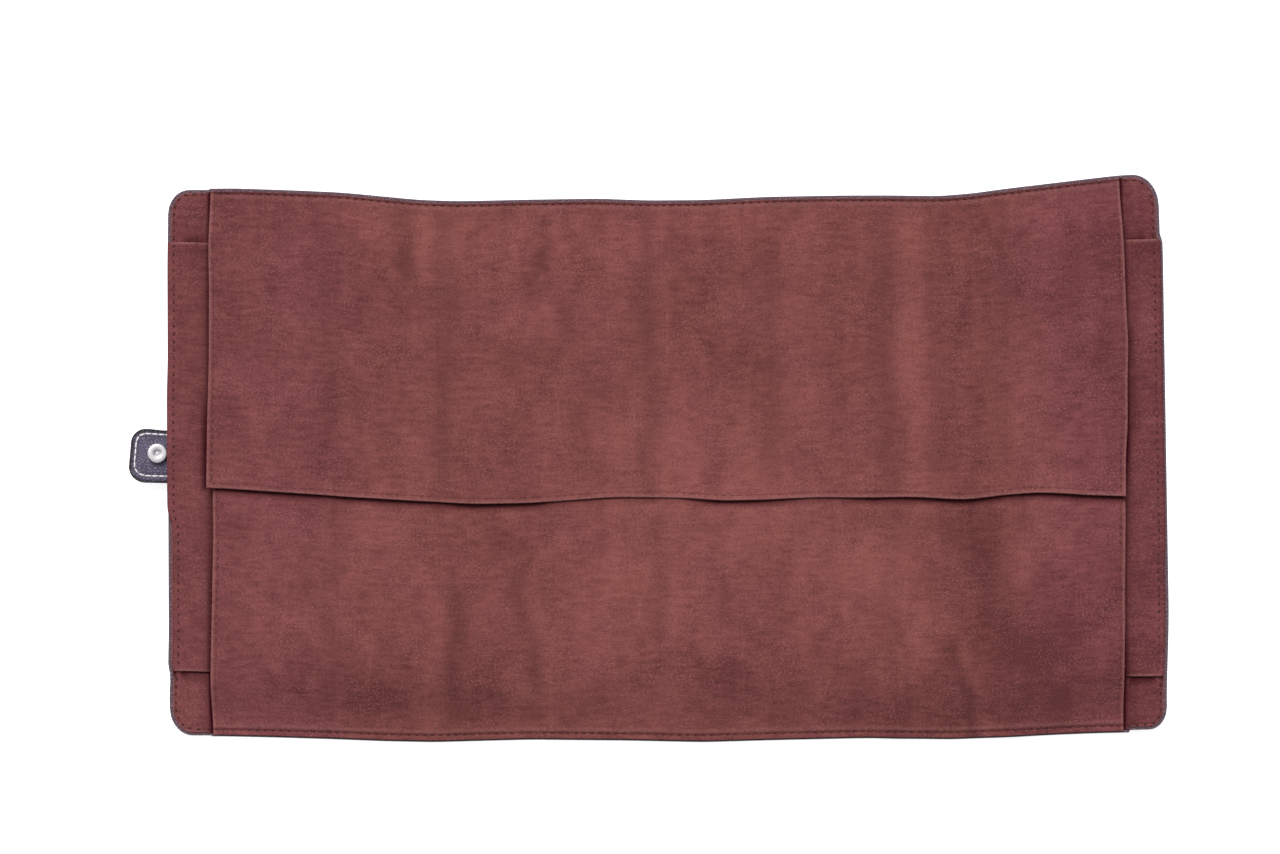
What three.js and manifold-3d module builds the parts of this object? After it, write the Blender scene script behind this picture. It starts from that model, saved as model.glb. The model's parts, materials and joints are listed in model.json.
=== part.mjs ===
import * as THREE from "three";
import { mergeVertices } from "three/addons/utils/BufferGeometryUtils.js";
import Module from "manifold-3d";

// A watch roll lying open with its lining up. Millimetres: X runs along the roll, Y across it, Z up.
// The sewn layers are divided at the pocket seams, where the roll folds, into hinged panels.

// Cover and lining
const POCKET_COUNT = 8;
const POCKET_PITCH = 57; // one watch pocket, from seam to seam
const END_MARGIN = 22; // plain end beyond the outer pockets
const COVER_DEPTH = 274; // across the roll
const CORNER_RADIUS = 10;
const LEATHER_THICKNESS = 1.4;
const LINING_THICKNESS = 0.8;
const LINING_INSET = 1.2; // leather rim that shows round the lining
const PLY_GAP = 0.3; // between plies that lie on each other
const FOLD_GAP = 0.48; // from a panel's side to its fold line

// Pocket strip, sewn down at every pocket seam and slack between seams
const STRIP_DEPTH = 214;
const STRIP_THICKNESS = 0.8;
const STRIP_OVERHANG = 0.7; // past the leather at both ends of the roll
const POCKET_RISE = 5; // clear height under the slack strip
const SEAM_FOOT = 2.5; // sewn-down stretch on each side of a seam
const POCKET_SHOULDER = 11; // run over which the strip rises to its crown

// Flaps, two plies of suede each, folded over the pockets from both long edges
const FLAP_THICKNESS = 1.2;
const FLAP_SEAM = 2.5; // from the cover's edge to a flap's sewn root
const FLAP_FOOT = 3.5; // flat stretch at the root, before the flap rises over the pockets
const DEEP_FLAP_END = -14.5; // where the deep flap's hem lies, across the roll
const HEM_CLEARANCE = 0.5; // between the two flaps' free edges
const HEM_WIDTH = 12;
const HEM_LIFT = 0.8; // how far a free edge curls up

// Closure strap, two plies of leather under the left end
const STRAP_WIDTH = 26.5;
const STRAP_REACH = 19.5; // beyond the cover's end
const STRAP_ROOT = 9; // sewn stretch under the cover
const STRAP_OFFSET = 6; // the strap's middle from the roll's middle line
const STRAP_CORNER = 5.5;
const STRAP_PLY = 1.05;
const STRAP_BEND_GAP = 0.2; // from each stretch to the line where the strap bends

// Snap fastener: cap and socket on the strap, stud and rivet on the cover
const SNAP_CLEARANCE = 0.3;
const SNAP_SEAT_GAP = 0.2; // between a snap piece and the leather that it grips
const CAP_RADIUS = 6.25;
const CAP_HEIGHT = 1.2;
const CAP_RIM = 0.3;
const CAP_POST_RADIUS = 2.1;
const SOCKET_RADIUS = 4.9;
const SOCKET_HEIGHT = 3.3;
const SOCKET_BORE_RADIUS = 2.5;
const SOCKET_BEVEL = 0.4;
const SNAP_ENGAGEMENT = 1; // how far the stud enters the socket
const STUD_FLANGE_RADIUS = 5;
const STUD_FLANGE_THICKNESS = 0.7;
const STUD_HEAD_RADIUS = 2.1;
const STUD_HEAD_LENGTH = 1.2;
const STUD_NECK_RADIUS = 1.6;
const STUD_SHANK_RADIUS = 1.3;
const RIVET_PIN_RADIUS = 0.6;
const RIVET_PIN_REACH = 0.5; // below the leather's outer face
const RIVET_HEAD_RADIUS = 4;
const RIVET_HEAD_THICKNESS = 0.4;

// Pose at rest: the pockets lie flat, level with the stud under them, and both ends curl up
const END_CURL = THREE.MathUtils.degToRad(13);

// Rolled up: the turn at each fold, from the first pocket to the right end
const ROLLED_FOLDS = [58.7, 69.8, 69.7, 77.8, 86.5, 96.3, 120, 119].map(THREE.MathUtils.degToRad);
const ROOT_PANEL = 3; // stays on the table while the others roll up
const STUD_PANEL = 5; // the left end closes over this panel

// Facets
const CORNER_STEPS = 6;
const CURVE_STEPS = 6;
const TURNED_SIDES = 32;

// Heights above the cover's outer face
const LINING_BASE = LEATHER_THICKNESS + PLY_GAP;
const LINING_TOP = LINING_BASE + LINING_THICKNESS;
const STRIP_BASE = LINING_TOP + PLY_GAP;
const CROWN_BASE = LINING_TOP + POCKET_RISE;
const FLAP_BASE = CROWN_BASE + STRIP_THICKNESS + PLY_GAP;
const FOLD_HEIGHT = FLAP_BASE + FLAP_THICKNESS + HEM_LIFT; // fold lines run over all the layers
const STRAP_BACK_TOP = -PLY_GAP;
const STRAP_FACE_TOP = STRAP_BACK_TOP - STRAP_PLY - PLY_GAP;
const STRAP_UNDERSIDE = STRAP_FACE_TOP - STRAP_PLY;
const SOCKET_BASE = STRAP_BACK_TOP + SNAP_SEAT_GAP;
const SOCKET_SETBACK = STRIP_OVERHANG + SNAP_CLEARANCE + SOCKET_RADIUS; // from the cover's end to its middle

const RIGHT_PANEL = POCKET_COUNT + 1;
const PANELS = Array.from({ length: POCKET_COUNT + 2 }, (_, index) => index);
const ORIGIN = new THREE.Vector2();

const suede = { color: 0x794646, roughness: 0.95, metalness: 0 };
const leather = { color: 0x564e64, roughness: 0.6, metalness: 0 };
const nickel = { color: 0xd5d0d7, roughness: 0.25, metalness: 1 };

const { Manifold, Mesh } = await loadSolids();

async function loadSolids() {
  const library = await Module();
  library.setup();
  return library;
}

// Panels and their places

function panelName(panel) {
  if (panel === 0) return "left";
  return panel === RIGHT_PANEL ? "right" : String(panel);
}

function isEnd(panel) {
  return panel === 0 || panel === RIGHT_PANEL;
}

function panelWidth(panel) {
  return isEnd(panel) ? END_MARGIN : POCKET_PITCH;
}

// Points of the panels' left fold lines, seen along the folds, from the slope of each panel
function foldLines(slopes) {
  const span = (panel) => new THREE.Vector2(panelWidth(panel), 0).rotateAround(ORIGIN, slopes[panel]);
  const lines = [];
  lines[ROOT_PANEL] = new THREE.Vector2(0, FOLD_HEIGHT);
  for (let panel = ROOT_PANEL; panel < RIGHT_PANEL; panel++) {
    lines[panel + 1] = lines[panel].clone().add(span(panel));
  }
  for (let panel = ROOT_PANEL - 1; panel >= 0; panel--) {
    lines[panel] = lines[panel + 1].clone().sub(span(panel));
  }
  return lines;
}

// Where the socket lands when the roll is shut: along the stud's panel, and below its outer face
function socketLanding() {
  const wrap = ROLLED_FOLDS.slice(0, STUD_PANEL - 1).reduce((sum, fold) => sum + fold, 0);
  const folds = [2 * Math.PI - wrap, ...ROLLED_FOLDS];
  const slopes = [0];
  folds.forEach((fold, index) => slopes.push(slopes[index] + fold));
  const lines = foldLines(slopes);
  const socket = new THREE.Vector2(-SOCKET_SETBACK, -FOLD_HEIGHT).rotateAround(ORIGIN, slopes[0]);
  socket.add(lines[0]).sub(lines[STUD_PANEL]).rotateAround(ORIGIN, -slopes[STUD_PANEL]);
  return { along: socket.x, depth: -socket.y - FOLD_HEIGHT };
}

const LANDING = socketLanding();
const STUD_REACH = LANDING.depth - SOCKET_BASE - SOCKET_HEIGHT + SNAP_ENGAGEMENT;

function restSlopes() {
  const slopes = PANELS.map(() => 0);
  slopes[0] = -END_CURL;
  slopes[RIGHT_PANEL] = END_CURL;
  return slopes;
}

// From a layer's side to the fold line beside it. Low layers run on where an end curls up, to close the wedge
function sideGap(panel, neighbour, top) {
  const curls = isEnd(panel) || isEnd(neighbour);
  return curls ? FOLD_GAP - (FOLD_HEIGHT - top) * Math.tan(END_CURL / 2) : FOLD_GAP;
}

// Shapes

function smooth(share) {
  return THREE.MathUtils.smoothstep(share, 0, 1);
}

function stations(from, to, steps) {
  return Array.from({ length: steps + 1 }, (_, index) => THREE.MathUtils.lerp(from, to, index / steps));
}

// A flat outline between two ends, with its left and right corners rounded
function sheetOutline(left, right, depth, leftRadius, rightRadius) {
  const half = depth / 2;
  const points = [];
  const corner = (x, y, radius, start) => {
    const turns = radius > 0 ? stations(start, start + Math.PI / 2, CORNER_STEPS) : [start];
    turns.forEach((turn) => {
      points.push(new THREE.Vector2(x + radius * Math.cos(turn), y + radius * Math.sin(turn)));
    });
  };
  corner(left + leftRadius, -half + leftRadius, leftRadius, Math.PI);
  corner(right - rightRadius, -half + rightRadius, rightRadius, 1.5 * Math.PI);
  corner(right - rightRadius, half - rightRadius, rightRadius, 0);
  corner(left + leftRadius, half - leftRadius, leftRadius, 0.5 * Math.PI);
  return new THREE.Shape(points);
}

function plate(outline, base, thickness) {
  const solid = new THREE.ExtrudeGeometry(outline, { depth: thickness, bevelEnabled: false });
  return solid.translate(0, 0, base);
}

// A sheet that follows heights along a line: its two faces as one outline
function sheetSection(places, underside, thickness) {
  const lower = places.map((place) => new THREE.Vector2(place, underside(place)));
  const upper = lower.map((point) => new THREE.Vector2(point.x, point.y + thickness));
  return new THREE.Shape([...lower, ...upper.reverse()]);
}

function alongY(section, from, to) {
  const solid = new THREE.ExtrudeGeometry(section, { depth: to - from, bevelEnabled: false });
  return solid.rotateX(Math.PI / 2).translate(0, to, 0);
}

function alongX(section, from, to) {
  const solid = new THREE.ExtrudeGeometry(section, { depth: to - from, bevelEnabled: false });
  const turn = new THREE.Matrix4().makeBasis(
    new THREE.Vector3(0, 1, 0),
    new THREE.Vector3(0, 0, 1),
    new THREE.Vector3(1, 0, 0),
  );
  return solid.applyMatrix4(turn).translate(from, 0, 0);
}

// A turned piece from radius and height pairs, standing on the Z axis
function turned(profile) {
  const points = profile.map(([radius, height]) => new THREE.Vector2(radius, height));
  return new THREE.LatheGeometry(points, TURNED_SIDES).rotateX(Math.PI / 2);
}

function toSolid(geometry) {
  const bare = geometry.clone();
  bare.deleteAttribute("normal");
  bare.deleteAttribute("uv");
  const merged = mergeVertices(bare);
  const vertProperties = new Float32Array(merged.attributes.position.array);
  const triVerts = new Uint32Array(merged.index.array);
  return new Manifold(new Mesh({ numProp: 3, vertProperties, triVerts }));
}

function cutAway(geometry, cutter) {
  const { vertProperties, triVerts } = toSolid(geometry).subtract(toSolid(cutter)).getMesh();
  const result = new THREE.BufferGeometry();
  result.setAttribute("position", new THREE.BufferAttribute(new Float32Array(vertProperties), 3));
  result.setIndex(new THREE.BufferAttribute(new Uint32Array(triVerts), 1));
  return result;
}

// Layers of a panel, in the panel's own frame: X from its left fold line, Z from the cover's outer face

function panelSheet(panel, depth, inset, radius, base, thickness) {
  const isLeft = panel === 0;
  const isRight = panel === RIGHT_PANEL;
  const top = base + thickness;
  const left = isLeft ? inset : sideGap(panel, panel - 1, top);
  const right = panelWidth(panel) - (isRight ? inset : sideGap(panel, panel + 1, top));
  const outline = sheetOutline(left, right, depth, isLeft ? radius : 0, isRight ? radius : 0);
  return plate(outline, base, thickness);
}

function coverSheet(panel) {
  const sheet = panelSheet(panel, COVER_DEPTH, 0, CORNER_RADIUS, 0, LEATHER_THICKNESS);
  return panel === STUD_PANEL ? cutAway(sheet, studHole()) : sheet;
}

function liningSheet(panel) {
  const depth = COVER_DEPTH - 2 * LINING_INSET;
  const radius = CORNER_RADIUS - LINING_INSET;
  return panelSheet(panel, depth, LINING_INSET, radius, LINING_BASE, LINING_THICKNESS);
}

function stripEnd(panel) {
  return panelSheet(panel, STRIP_DEPTH, -STRIP_OVERHANG, 0, STRIP_BASE, STRIP_THICKNESS);
}

function pocket(panel) {
  const footTop = STRIP_BASE + STRIP_THICKNESS;
  const shoulder = stations(SEAM_FOOT, SEAM_FOOT + POCKET_SHOULDER, CURVE_STEPS);
  const half = (neighbour) => [sideGap(panel, neighbour, footTop), ...shoulder];
  const rightHalf = half(panel + 1).map((place) => POCKET_PITCH - place).reverse();
  const underside = (place) => {
    const fromSeam = Math.min(place, POCKET_PITCH - place);
    const share = smooth((fromSeam - SEAM_FOOT) / POCKET_SHOULDER);
    return THREE.MathUtils.lerp(STRIP_BASE, CROWN_BASE, share);
  };
  const section = sheetSection([...half(panel - 1), ...rightHalf], underside, STRIP_THICKNESS);
  return alongY(section, -STRIP_DEPTH / 2, STRIP_DEPTH / 2);
}

// A flap from its sewn root to its free edge; side is 1 for the deep flap and -1 for the shallow one
function flap(side) {
  const edge = COVER_DEPTH / 2;
  const freeEdge = side > 0 ? edge - DEEP_FLAP_END : edge + DEEP_FLAP_END - HEM_CLEARANCE;
  const riseStart = FLAP_SEAM + FLAP_FOOT;
  const riseEnd = (COVER_DEPTH - STRIP_DEPTH) / 2 - PLY_GAP;
  const hemStart = freeEdge - HEM_WIDTH;
  const rise = stations(riseStart, riseEnd, CURVE_STEPS);
  const hem = stations(hemStart, freeEdge, CURVE_STEPS);
  const underside = (fromEdge) => {
    const over = smooth((fromEdge - riseStart) / (riseEnd - riseStart));
    const curl = HEM_LIFT * smooth((fromEdge - hemStart) / HEM_WIDTH);
    return THREE.MathUtils.lerp(STRIP_BASE, FLAP_BASE, over) + curl;
  };
  const across = [FLAP_SEAM, ...rise, ...hem].map((fromEdge) => side * (edge - fromEdge));
  const section = sheetSection(across, (place) => underside(edge - side * place), FLAP_THICKNESS);
  return alongX(section, FOLD_GAP, POCKET_PITCH - FOLD_GAP);
}

// Strap, in the left panel's frame

function strapTab(top) {
  const outline = sheetOutline(-STRAP_REACH, -STRAP_BEND_GAP, STRAP_WIDTH, STRAP_CORNER, 0);
  const postHole = new THREE.Path();
  postHole.absarc(-SOCKET_SETBACK, 0, CAP_POST_RADIUS + SNAP_CLEARANCE, 0, 2 * Math.PI, true);
  outline.holes.push(postHole);
  return plate(outline, top - STRAP_PLY, STRAP_PLY);
}

function strapRoot(top) {
  const outline = sheetOutline(STRAP_BEND_GAP, STRAP_ROOT, STRAP_WIDTH, 0, 0);
  return plate(outline, top - STRAP_PLY, STRAP_PLY);
}

// Snap pieces, each on its own axis

function snapCap() {
  const seat = STRAP_UNDERSIDE - SNAP_SEAT_GAP;
  const rim = seat - CAP_RIM;
  const dome = stations(0, CAP_RADIUS, CURVE_STEPS).map((radius) => {
    const drop = Math.sqrt(1 - (radius / CAP_RADIUS) ** 2);
    return [radius, rim - (CAP_HEIGHT - CAP_RIM) * drop];
  });
  const postEnd = STRAP_BACK_TOP - SNAP_SEAT_GAP;
  return turned([...dome, [CAP_RADIUS, seat], [CAP_POST_RADIUS, seat], [CAP_POST_RADIUS, postEnd], [0, postEnd]]);
}

function snapSocket() {
  const top = SOCKET_BASE + SOCKET_HEIGHT;
  return turned([
    [SOCKET_BORE_RADIUS, SOCKET_BASE],
    [SOCKET_RADIUS, SOCKET_BASE],
    [SOCKET_RADIUS, top - SOCKET_BEVEL],
    [SOCKET_RADIUS - SOCKET_BEVEL, top],
    [SOCKET_BORE_RADIUS + SOCKET_BEVEL, top],
    [SOCKET_BORE_RADIUS, top - SOCKET_BEVEL],
    [SOCKET_BORE_RADIUS, SOCKET_BASE],
  ]);
}

const RIVET_RECESS = RIVET_HEAD_THICKNESS + SNAP_SEAT_GAP;
const RECESS_FLOOR = LEATHER_THICKNESS - RIVET_RECESS;

function studHole() {
  const holeRadius = STUD_SHANK_RADIUS + SNAP_CLEARANCE;
  const recessRadius = RIVET_HEAD_RADIUS + SNAP_CLEARANCE;
  const beyond = LEATHER_THICKNESS;
  const cutter = turned([
    [0, -beyond],
    [holeRadius, -beyond],
    [holeRadius, RECESS_FLOOR],
    [recessRadius, RECESS_FLOOR],
    [recessRadius, LEATHER_THICKNESS + beyond],
    [0, LEATHER_THICKNESS + beyond],
  ]);
  return cutter.translate(LANDING.along, STRAP_OFFSET, 0);
}

function snapStud() {
  const seat = -SNAP_SEAT_GAP;
  const flange = seat - STUD_FLANGE_THICKNESS;
  const headTop = -STUD_REACH + STUD_HEAD_LENGTH;
  const headEdge = STUD_HEAD_LENGTH / 3;
  const shankTop = RECESS_FLOOR - SNAP_SEAT_GAP;
  const pinBore = RIVET_PIN_RADIUS + SNAP_CLEARANCE;
  const pinFloor = -RIVET_PIN_REACH - SNAP_SEAT_GAP;
  return turned([
    [0, -STUD_REACH],
    [STUD_NECK_RADIUS, -STUD_REACH],
    [STUD_HEAD_RADIUS, -STUD_REACH + headEdge],
    [STUD_HEAD_RADIUS, headTop - headEdge],
    [STUD_NECK_RADIUS, headTop],
    [STUD_NECK_RADIUS, flange],
    [STUD_FLANGE_RADIUS, flange],
    [STUD_FLANGE_RADIUS, seat],
    [STUD_SHANK_RADIUS, seat],
    [STUD_SHANK_RADIUS, shankTop],
    [pinBore, shankTop],
    [pinBore, pinFloor],
    [0, pinFloor],
  ]);
}

function snapRivet() {
  const headTop = LEATHER_THICKNESS - SNAP_SEAT_GAP / 2;
  const headBase = headTop - RIVET_HEAD_THICKNESS;
  return turned([
    [0, -RIVET_PIN_REACH],
    [RIVET_PIN_RADIUS, -RIVET_PIN_REACH],
    [RIVET_PIN_RADIUS, headBase],
    [RIVET_HEAD_RADIUS, headBase],
    [RIVET_HEAD_RADIUS, headTop],
    [0, headTop],
  ]);
}

// Assembly

function piece(name, geometry, finish, x = 0, y = 0) {
  const mesh = new THREE.Mesh(geometry, new THREE.MeshStandardMaterial(finish));
  mesh.name = name;
  mesh.position.set(x, y, -FOLD_HEIGHT);
  return mesh;
}

function panelPieces(panel) {
  const name = panelName(panel);
  const layers = [
    piece(`cover_${name}`, coverSheet(panel), leather),
    piece(`lining_${name}`, liningSheet(panel), suede),
  ];
  if (isEnd(panel)) {
    layers.push(piece(`strip_end_${name}`, stripEnd(panel), suede));
  } else {
    layers.push(piece(`pocket_${name}`, pocket(panel), suede));
    layers.push(piece(`deep_flap_${name}`, flap(1), suede));
    layers.push(piece(`shallow_flap_${name}`, flap(-1), suede));
  }
  return layers;
}

function strapPieces() {
  return [
    piece("strap_back", strapTab(STRAP_BACK_TOP), leather, 0, STRAP_OFFSET),
    piece("strap_face", strapTab(STRAP_FACE_TOP), leather, 0, STRAP_OFFSET),
    piece("strap_root_back", strapRoot(STRAP_BACK_TOP), leather, 0, STRAP_OFFSET),
    piece("strap_root_face", strapRoot(STRAP_FACE_TOP), leather, 0, STRAP_OFFSET),
    piece("snap_cap", snapCap(), nickel, -SOCKET_SETBACK, STRAP_OFFSET),
    piece("snap_socket", snapSocket(), nickel, -SOCKET_SETBACK, STRAP_OFFSET),
  ];
}

function studPieces() {
  return [
    piece("snap_stud", snapStud(), nickel, LANDING.along, STRAP_OFFSET),
    piece("snap_rivet", snapRivet(), nickel, LANDING.along, STRAP_OFFSET),
  ];
}

function watchRoll() {
  const roll = new THREE.Group();
  const slopes = restSlopes();
  const lines = foldLines(slopes);
  PANELS.forEach((panel) => {
    const group = new THREE.Group();
    group.position.set(lines[panel].x, 0, lines[panel].y);
    group.rotation.y = -slopes[panel];
    group.add(...panelPieces(panel));
    if (panel === 0) group.add(...strapPieces());
    if (panel === STUD_PANEL) group.add(...studPieces());
    roll.add(group);
  });
  // The origin is under the middle of the whole roll, level with the stud's end
  roll.updateMatrixWorld(true);
  const middle = new THREE.Box3().setFromObject(roll, true).getCenter(new THREE.Vector3());
  roll.position.set(-middle.x, 0, STUD_REACH);
  return roll;
}

export default watchRoll();
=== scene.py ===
import json
import math

import bpy
import numpy as np
from bpy.props import FloatProperty, FloatVectorProperty, IntProperty, PointerProperty
from bpy.types import Operator, Panel, PropertyGroup
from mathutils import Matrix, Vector


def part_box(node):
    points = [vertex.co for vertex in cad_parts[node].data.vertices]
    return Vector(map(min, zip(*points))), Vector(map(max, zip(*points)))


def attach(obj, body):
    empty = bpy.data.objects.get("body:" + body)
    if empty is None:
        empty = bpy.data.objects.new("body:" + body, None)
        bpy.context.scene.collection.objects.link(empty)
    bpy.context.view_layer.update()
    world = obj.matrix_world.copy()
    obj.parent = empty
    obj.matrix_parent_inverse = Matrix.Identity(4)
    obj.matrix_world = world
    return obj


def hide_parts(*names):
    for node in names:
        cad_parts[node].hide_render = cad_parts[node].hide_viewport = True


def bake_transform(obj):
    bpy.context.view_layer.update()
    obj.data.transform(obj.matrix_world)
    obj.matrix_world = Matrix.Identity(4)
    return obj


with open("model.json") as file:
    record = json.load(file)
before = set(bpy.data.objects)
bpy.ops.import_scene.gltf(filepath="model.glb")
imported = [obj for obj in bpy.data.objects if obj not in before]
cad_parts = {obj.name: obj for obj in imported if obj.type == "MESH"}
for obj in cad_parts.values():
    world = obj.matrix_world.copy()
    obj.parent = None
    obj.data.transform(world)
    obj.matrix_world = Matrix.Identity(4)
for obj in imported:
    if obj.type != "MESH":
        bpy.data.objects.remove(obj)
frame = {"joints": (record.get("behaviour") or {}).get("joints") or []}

bl_info = {
    "name": "Watch Roll",
    "version": (1, 0, 0),
    "blender": (4, 5, 0),
    "location": "View3D > Sidebar > Watch Roll",
    "description": "Builds the leather, suede, stitching and snap of an opened watch roll over its CAD frame",
    "category": "Object",
}

MM = 0.001

# The panels in order along the roll, and the folds between them
PANELS = ["left", "1", "2", "3", "4", "5", "6", "7", "8", "right"]
FOLDS = list(zip(PANELS, PANELS[1:]))
POCKETS = PANELS[1:-1]

# Shape at rest, in millimetres along the roll and away from the straight edge
TOP_EDGE_SWAY = (
    (0, 3.7), (30, 4.4), (60, 3.4), (85, 2.3), (105, 0.4), (125, -1.5), (145, -2.1), (180, -1.3),
    (215, -0.8), (240, -1.7), (268, -1.5), (300, 0.1), (340, 0.8), (388, 0.5), (405, 1.9),
    (430, 5.2), (455, 8.2), (478, 10.8), (500, 11.5),
)
BOTTOM_EDGE_SWAY = (
    (0, 2.6), (50, 1.5), (80, 0.6), (105, -0.4), (130, -0.9), (178, 0.4), (228, -0.1), (265, -0.9),
    (300, 0.1), (350, 1.2), (390, 0.5), (420, 1.8), (440, 2.7), (478, 4.3), (500, 5.2),
)
# The deep flap's free edge, in millimetres along the roll and from its middle line
HEM_LINE = (
    (22, -9.4), (41, -10.7), (65, -12.3), (89, -14.1), (101, -14.7), (110, -15.3), (131, -16.5),
    (152, -17.6), (179, -17.1), (191, -16.4), (215, -14.6), (224, -14.1), (257, -14.5), (276, -15.9),
    (299, -15.4), (311, -14.7), (326, -14.2), (344, -14.4), (372, -14.0), (396, -15.4), (405, -14.6),
    (414, -13.3), (432, -11.8), (444, -12.0), (456, -12.9), (478, -13.6),
)
# How far the deep flap's free edge stands up off the shallow flap
HEM_RISE = (
    (20, 1.6), (45, 2.0), (90, 1.8), (130, 1.8), (152, 2.2), (182, 1.8), (196, 0.7), (255, 0.6),
    (268, 1.7), (303, 1.7), (318, 0.7), (335, 0.7), (350, 1.7), (397, 2.2), (420, 1.7), (445, 1.8),
    (480, 2.0),
)
# Where the flaps' left and right sides lie from the end folds, in millimetres across the roll and along it
FLAP_SIDES = {
    "deep": (
        ((-6, -1.5), (23, -1.0), (38, -0.5), (52, -0.1), (90, 0.1), (106, -0.3), (121, -0.1), (137, 0.5)),
        ((-24, 1.1), (-3, 1.5), (5, 2.0), (12, 2.7), (41, 3.1), (52, 3.7), (78, 2.7), (92, 2.5),
         (107, 2.1), (130, 1.2)),
    ),
    "shallow": (
        ((-137, 0.7), (-125, 0.4), (-112, -0.2), (-95, 0.3), (-80, 0.6), (-65, 1.0), (-50, 1.3),
         (-35, 1.6), (-20, 1.5)),
        ((-126, -0.9), (-97, -0.6), (-82, -0.1), (-68, 0.0), (-46, 0.6), (-31, 1.0)),
    ),
}
# Where a flap starts and ends to bend when it is folded back, from the cover's edge
FLAP_BEND = (4.5 * MM, 11.5 * MM)
# Corners of the cover at its left and its right end, in millimetres: along the roll, across it, and how far
# the long edge steps in beside the flaps
CORNERS = {
    "lower": ((11.5, 14.0, 0.4), (9.0, 11.0, 1.2)),
    "upper": ((10.5, 12.5, 0.6), (13.0, 16.0, 0.0)),
}
# Where the long edges start to sag, from the roll's middle line, and over what run
EDGE_SAG = (92 * MM, 42 * MM)
# How near the table they come
TABLE_GAP = 0.15 * MM
# How far the left end leans along the roll, and how much more the right end does
END_LEAN = (0.5 * MM, 1.8 * MM)
# How far from an end the sheets are pulled about by its seam
END_RUN = 12 * MM
# Level inside the stack at which the bending at a fold starts and ends
BEND_LEVEL = 2 * MM
# Air between a flap and the pocket strip, and between two pieces of a cut flap
FLAP_CLEARANCE = 0.25 * MM
CUT_SLIT = 0.03 * MM
# Painted shadow lines beside the strip's lower and upper edge: how dark, and half width
STRIP_LINES = ((0.95, 1.1 * MM), (0.6, 0.8 * MM))
# Patches painted lighter or darker: uneven nap, and painted shade that darkens the right end; (along,
# across), reach along and across, and tone
NAP_AND_SHADE_PATCHES = (
    ((285, -8), (78, 66), 0.40),
    ((226, -50), (40, 46), 0.70),
    ((242, 45), (18, 42), 0.35),
    ((356, -54), (24, 40), 0.80),
    ((322, 37), (36, 15), 0.50),
    ((214, 17), (22, 15), 0.40),
    ((178, 57), (12, 14), -0.40),
    ((240, -101), (44, 14), -0.35),
    ((262, 117), (24, 14), -0.40),
    ((504, 118), (18, 20), 0.60),
    ((293, 2), (15, 15), 0.30),
    ((115, -48), (46, 28), 0.20),
    ((428, -46), (13, 13), 0.45),
    ((432, 52), (16, 26), 0.25),
    ((190, 97), (44, 18), -0.50),
    ((295, 106), (44, 22), -0.40),
    ((198, 74), (8, 12), -0.35),
    ((75, 37), (20, 30), -0.30),
    ((85, -3), (40, 12), -0.35),
    ((166, -38), (24, 12), -0.45),
    ((274, 2), (9, 28), -0.60),
    ((155, -100), (15, 24), -0.40),
    ((98, -114), (40, 11), -0.45),
    ((280, -102), (46, 18), -0.45),
    ((398, 40), (18, 96), -0.60),
    ((407, -66), (16, 48), -0.75),
    ((432, -96), (32, 28), -0.90),
    ((440, -112), (80, 40), -0.60),
    ((385, -126), (130, 17), -0.65),
    ((470, 108), (62, 36), -0.75),
    ((466, 30), (14, 34), -0.40),
    ((16, 118), (22, 26), -0.45),
    ((504, 0), (48, 150), -0.75),
)
# Corners of the strap's free end, lower and upper
STRAP_CORNERS = (8.6 * MM, 6.2 * MM)
# From the strap's long sides to their stitching, lower and upper
STRAP_SEAMS = (3.5 * MM, 2.3 * MM)
# How far the pocket strip sits high at the left end and low at the right
STRIP_RISE, STRIP_FALL = 3 * MM, 2.3 * MM
# How far the strip's left end is tucked in at its lower and upper corner
LEFT_TUCK = (2.6 * MM, 0.5 * MM)
# How far its right end is tucked in all along, and how much more at its lower corner
RIGHT_TUCK = (1.0 * MM, 0.6 * MM)
# About how far below the roll's middle line the flaps meet
HEM_BELOW = 15 * MM
# From the cover's edge to the first stitch of a flap's side
SIDE_SEAM_START = 18 * MM
# Widest mesh step of the strap
STRAP_STEP = 1.2 * MM
# Middle of the snap, from the cover's left end and from the strap's middle line
SNAP_ALONG, SNAP_ASIDE = -5.4 * MM, 1.9 * MM
# Profiles of the turned snap pieces: radius, and height over the cover's outer face, in millimetres
SOCKET_PROFILE = (
    (0.4, -0.1), (2.2, -0.1), (4.55, 0.0), (4.75, 0.2), (4.75, 2.4), (4.68, 2.7), (4.5, 2.92), (4.15, 3.02),
    (3.2, 3.0), (2.5, 3.02), (2.2, 2.95), (2.15, 2.75), (2.15, 0.2), (0.6, 0.2),
)
CAP_PROFILE = (
    (0.3, -4.0), (1.8, -3.95), (3.4, -3.75), (4.8, -3.4), (5.7, -3.0), (6.1, -2.75), (6.2, -2.5),
    (6.0, -2.35), (2.0, -2.35), (0.3, -2.35),
)
POST_PROFILE = ((0.2, 0.1), (0.85, 0.1), (0.85, 1.4), (0.75, 1.75), (0.5, 1.95), (0.2, 2.0))
# Studio: light from all round, a wide window, and a floor that shows bright to the camera and in reflections
ROOM_LIGHT = 0.34
WINDOW_LIGHT = 2.6
WINDOW_SPREAD = math.radians(28)
WINDOW_DIRECTION = (0.14, -0.75, -1)
FLOOR_HALF = 40.0
FLOOR_GLOW = 0.72
# Camera: its film's width, its place over the table, and the level at which the picture's width is given
FILM_WIDTH = 36
CAMERA_PLACE = (-3.2 * MM, 21.0 * MM)
SUBJECT_LEVEL = 8 * MM
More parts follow.
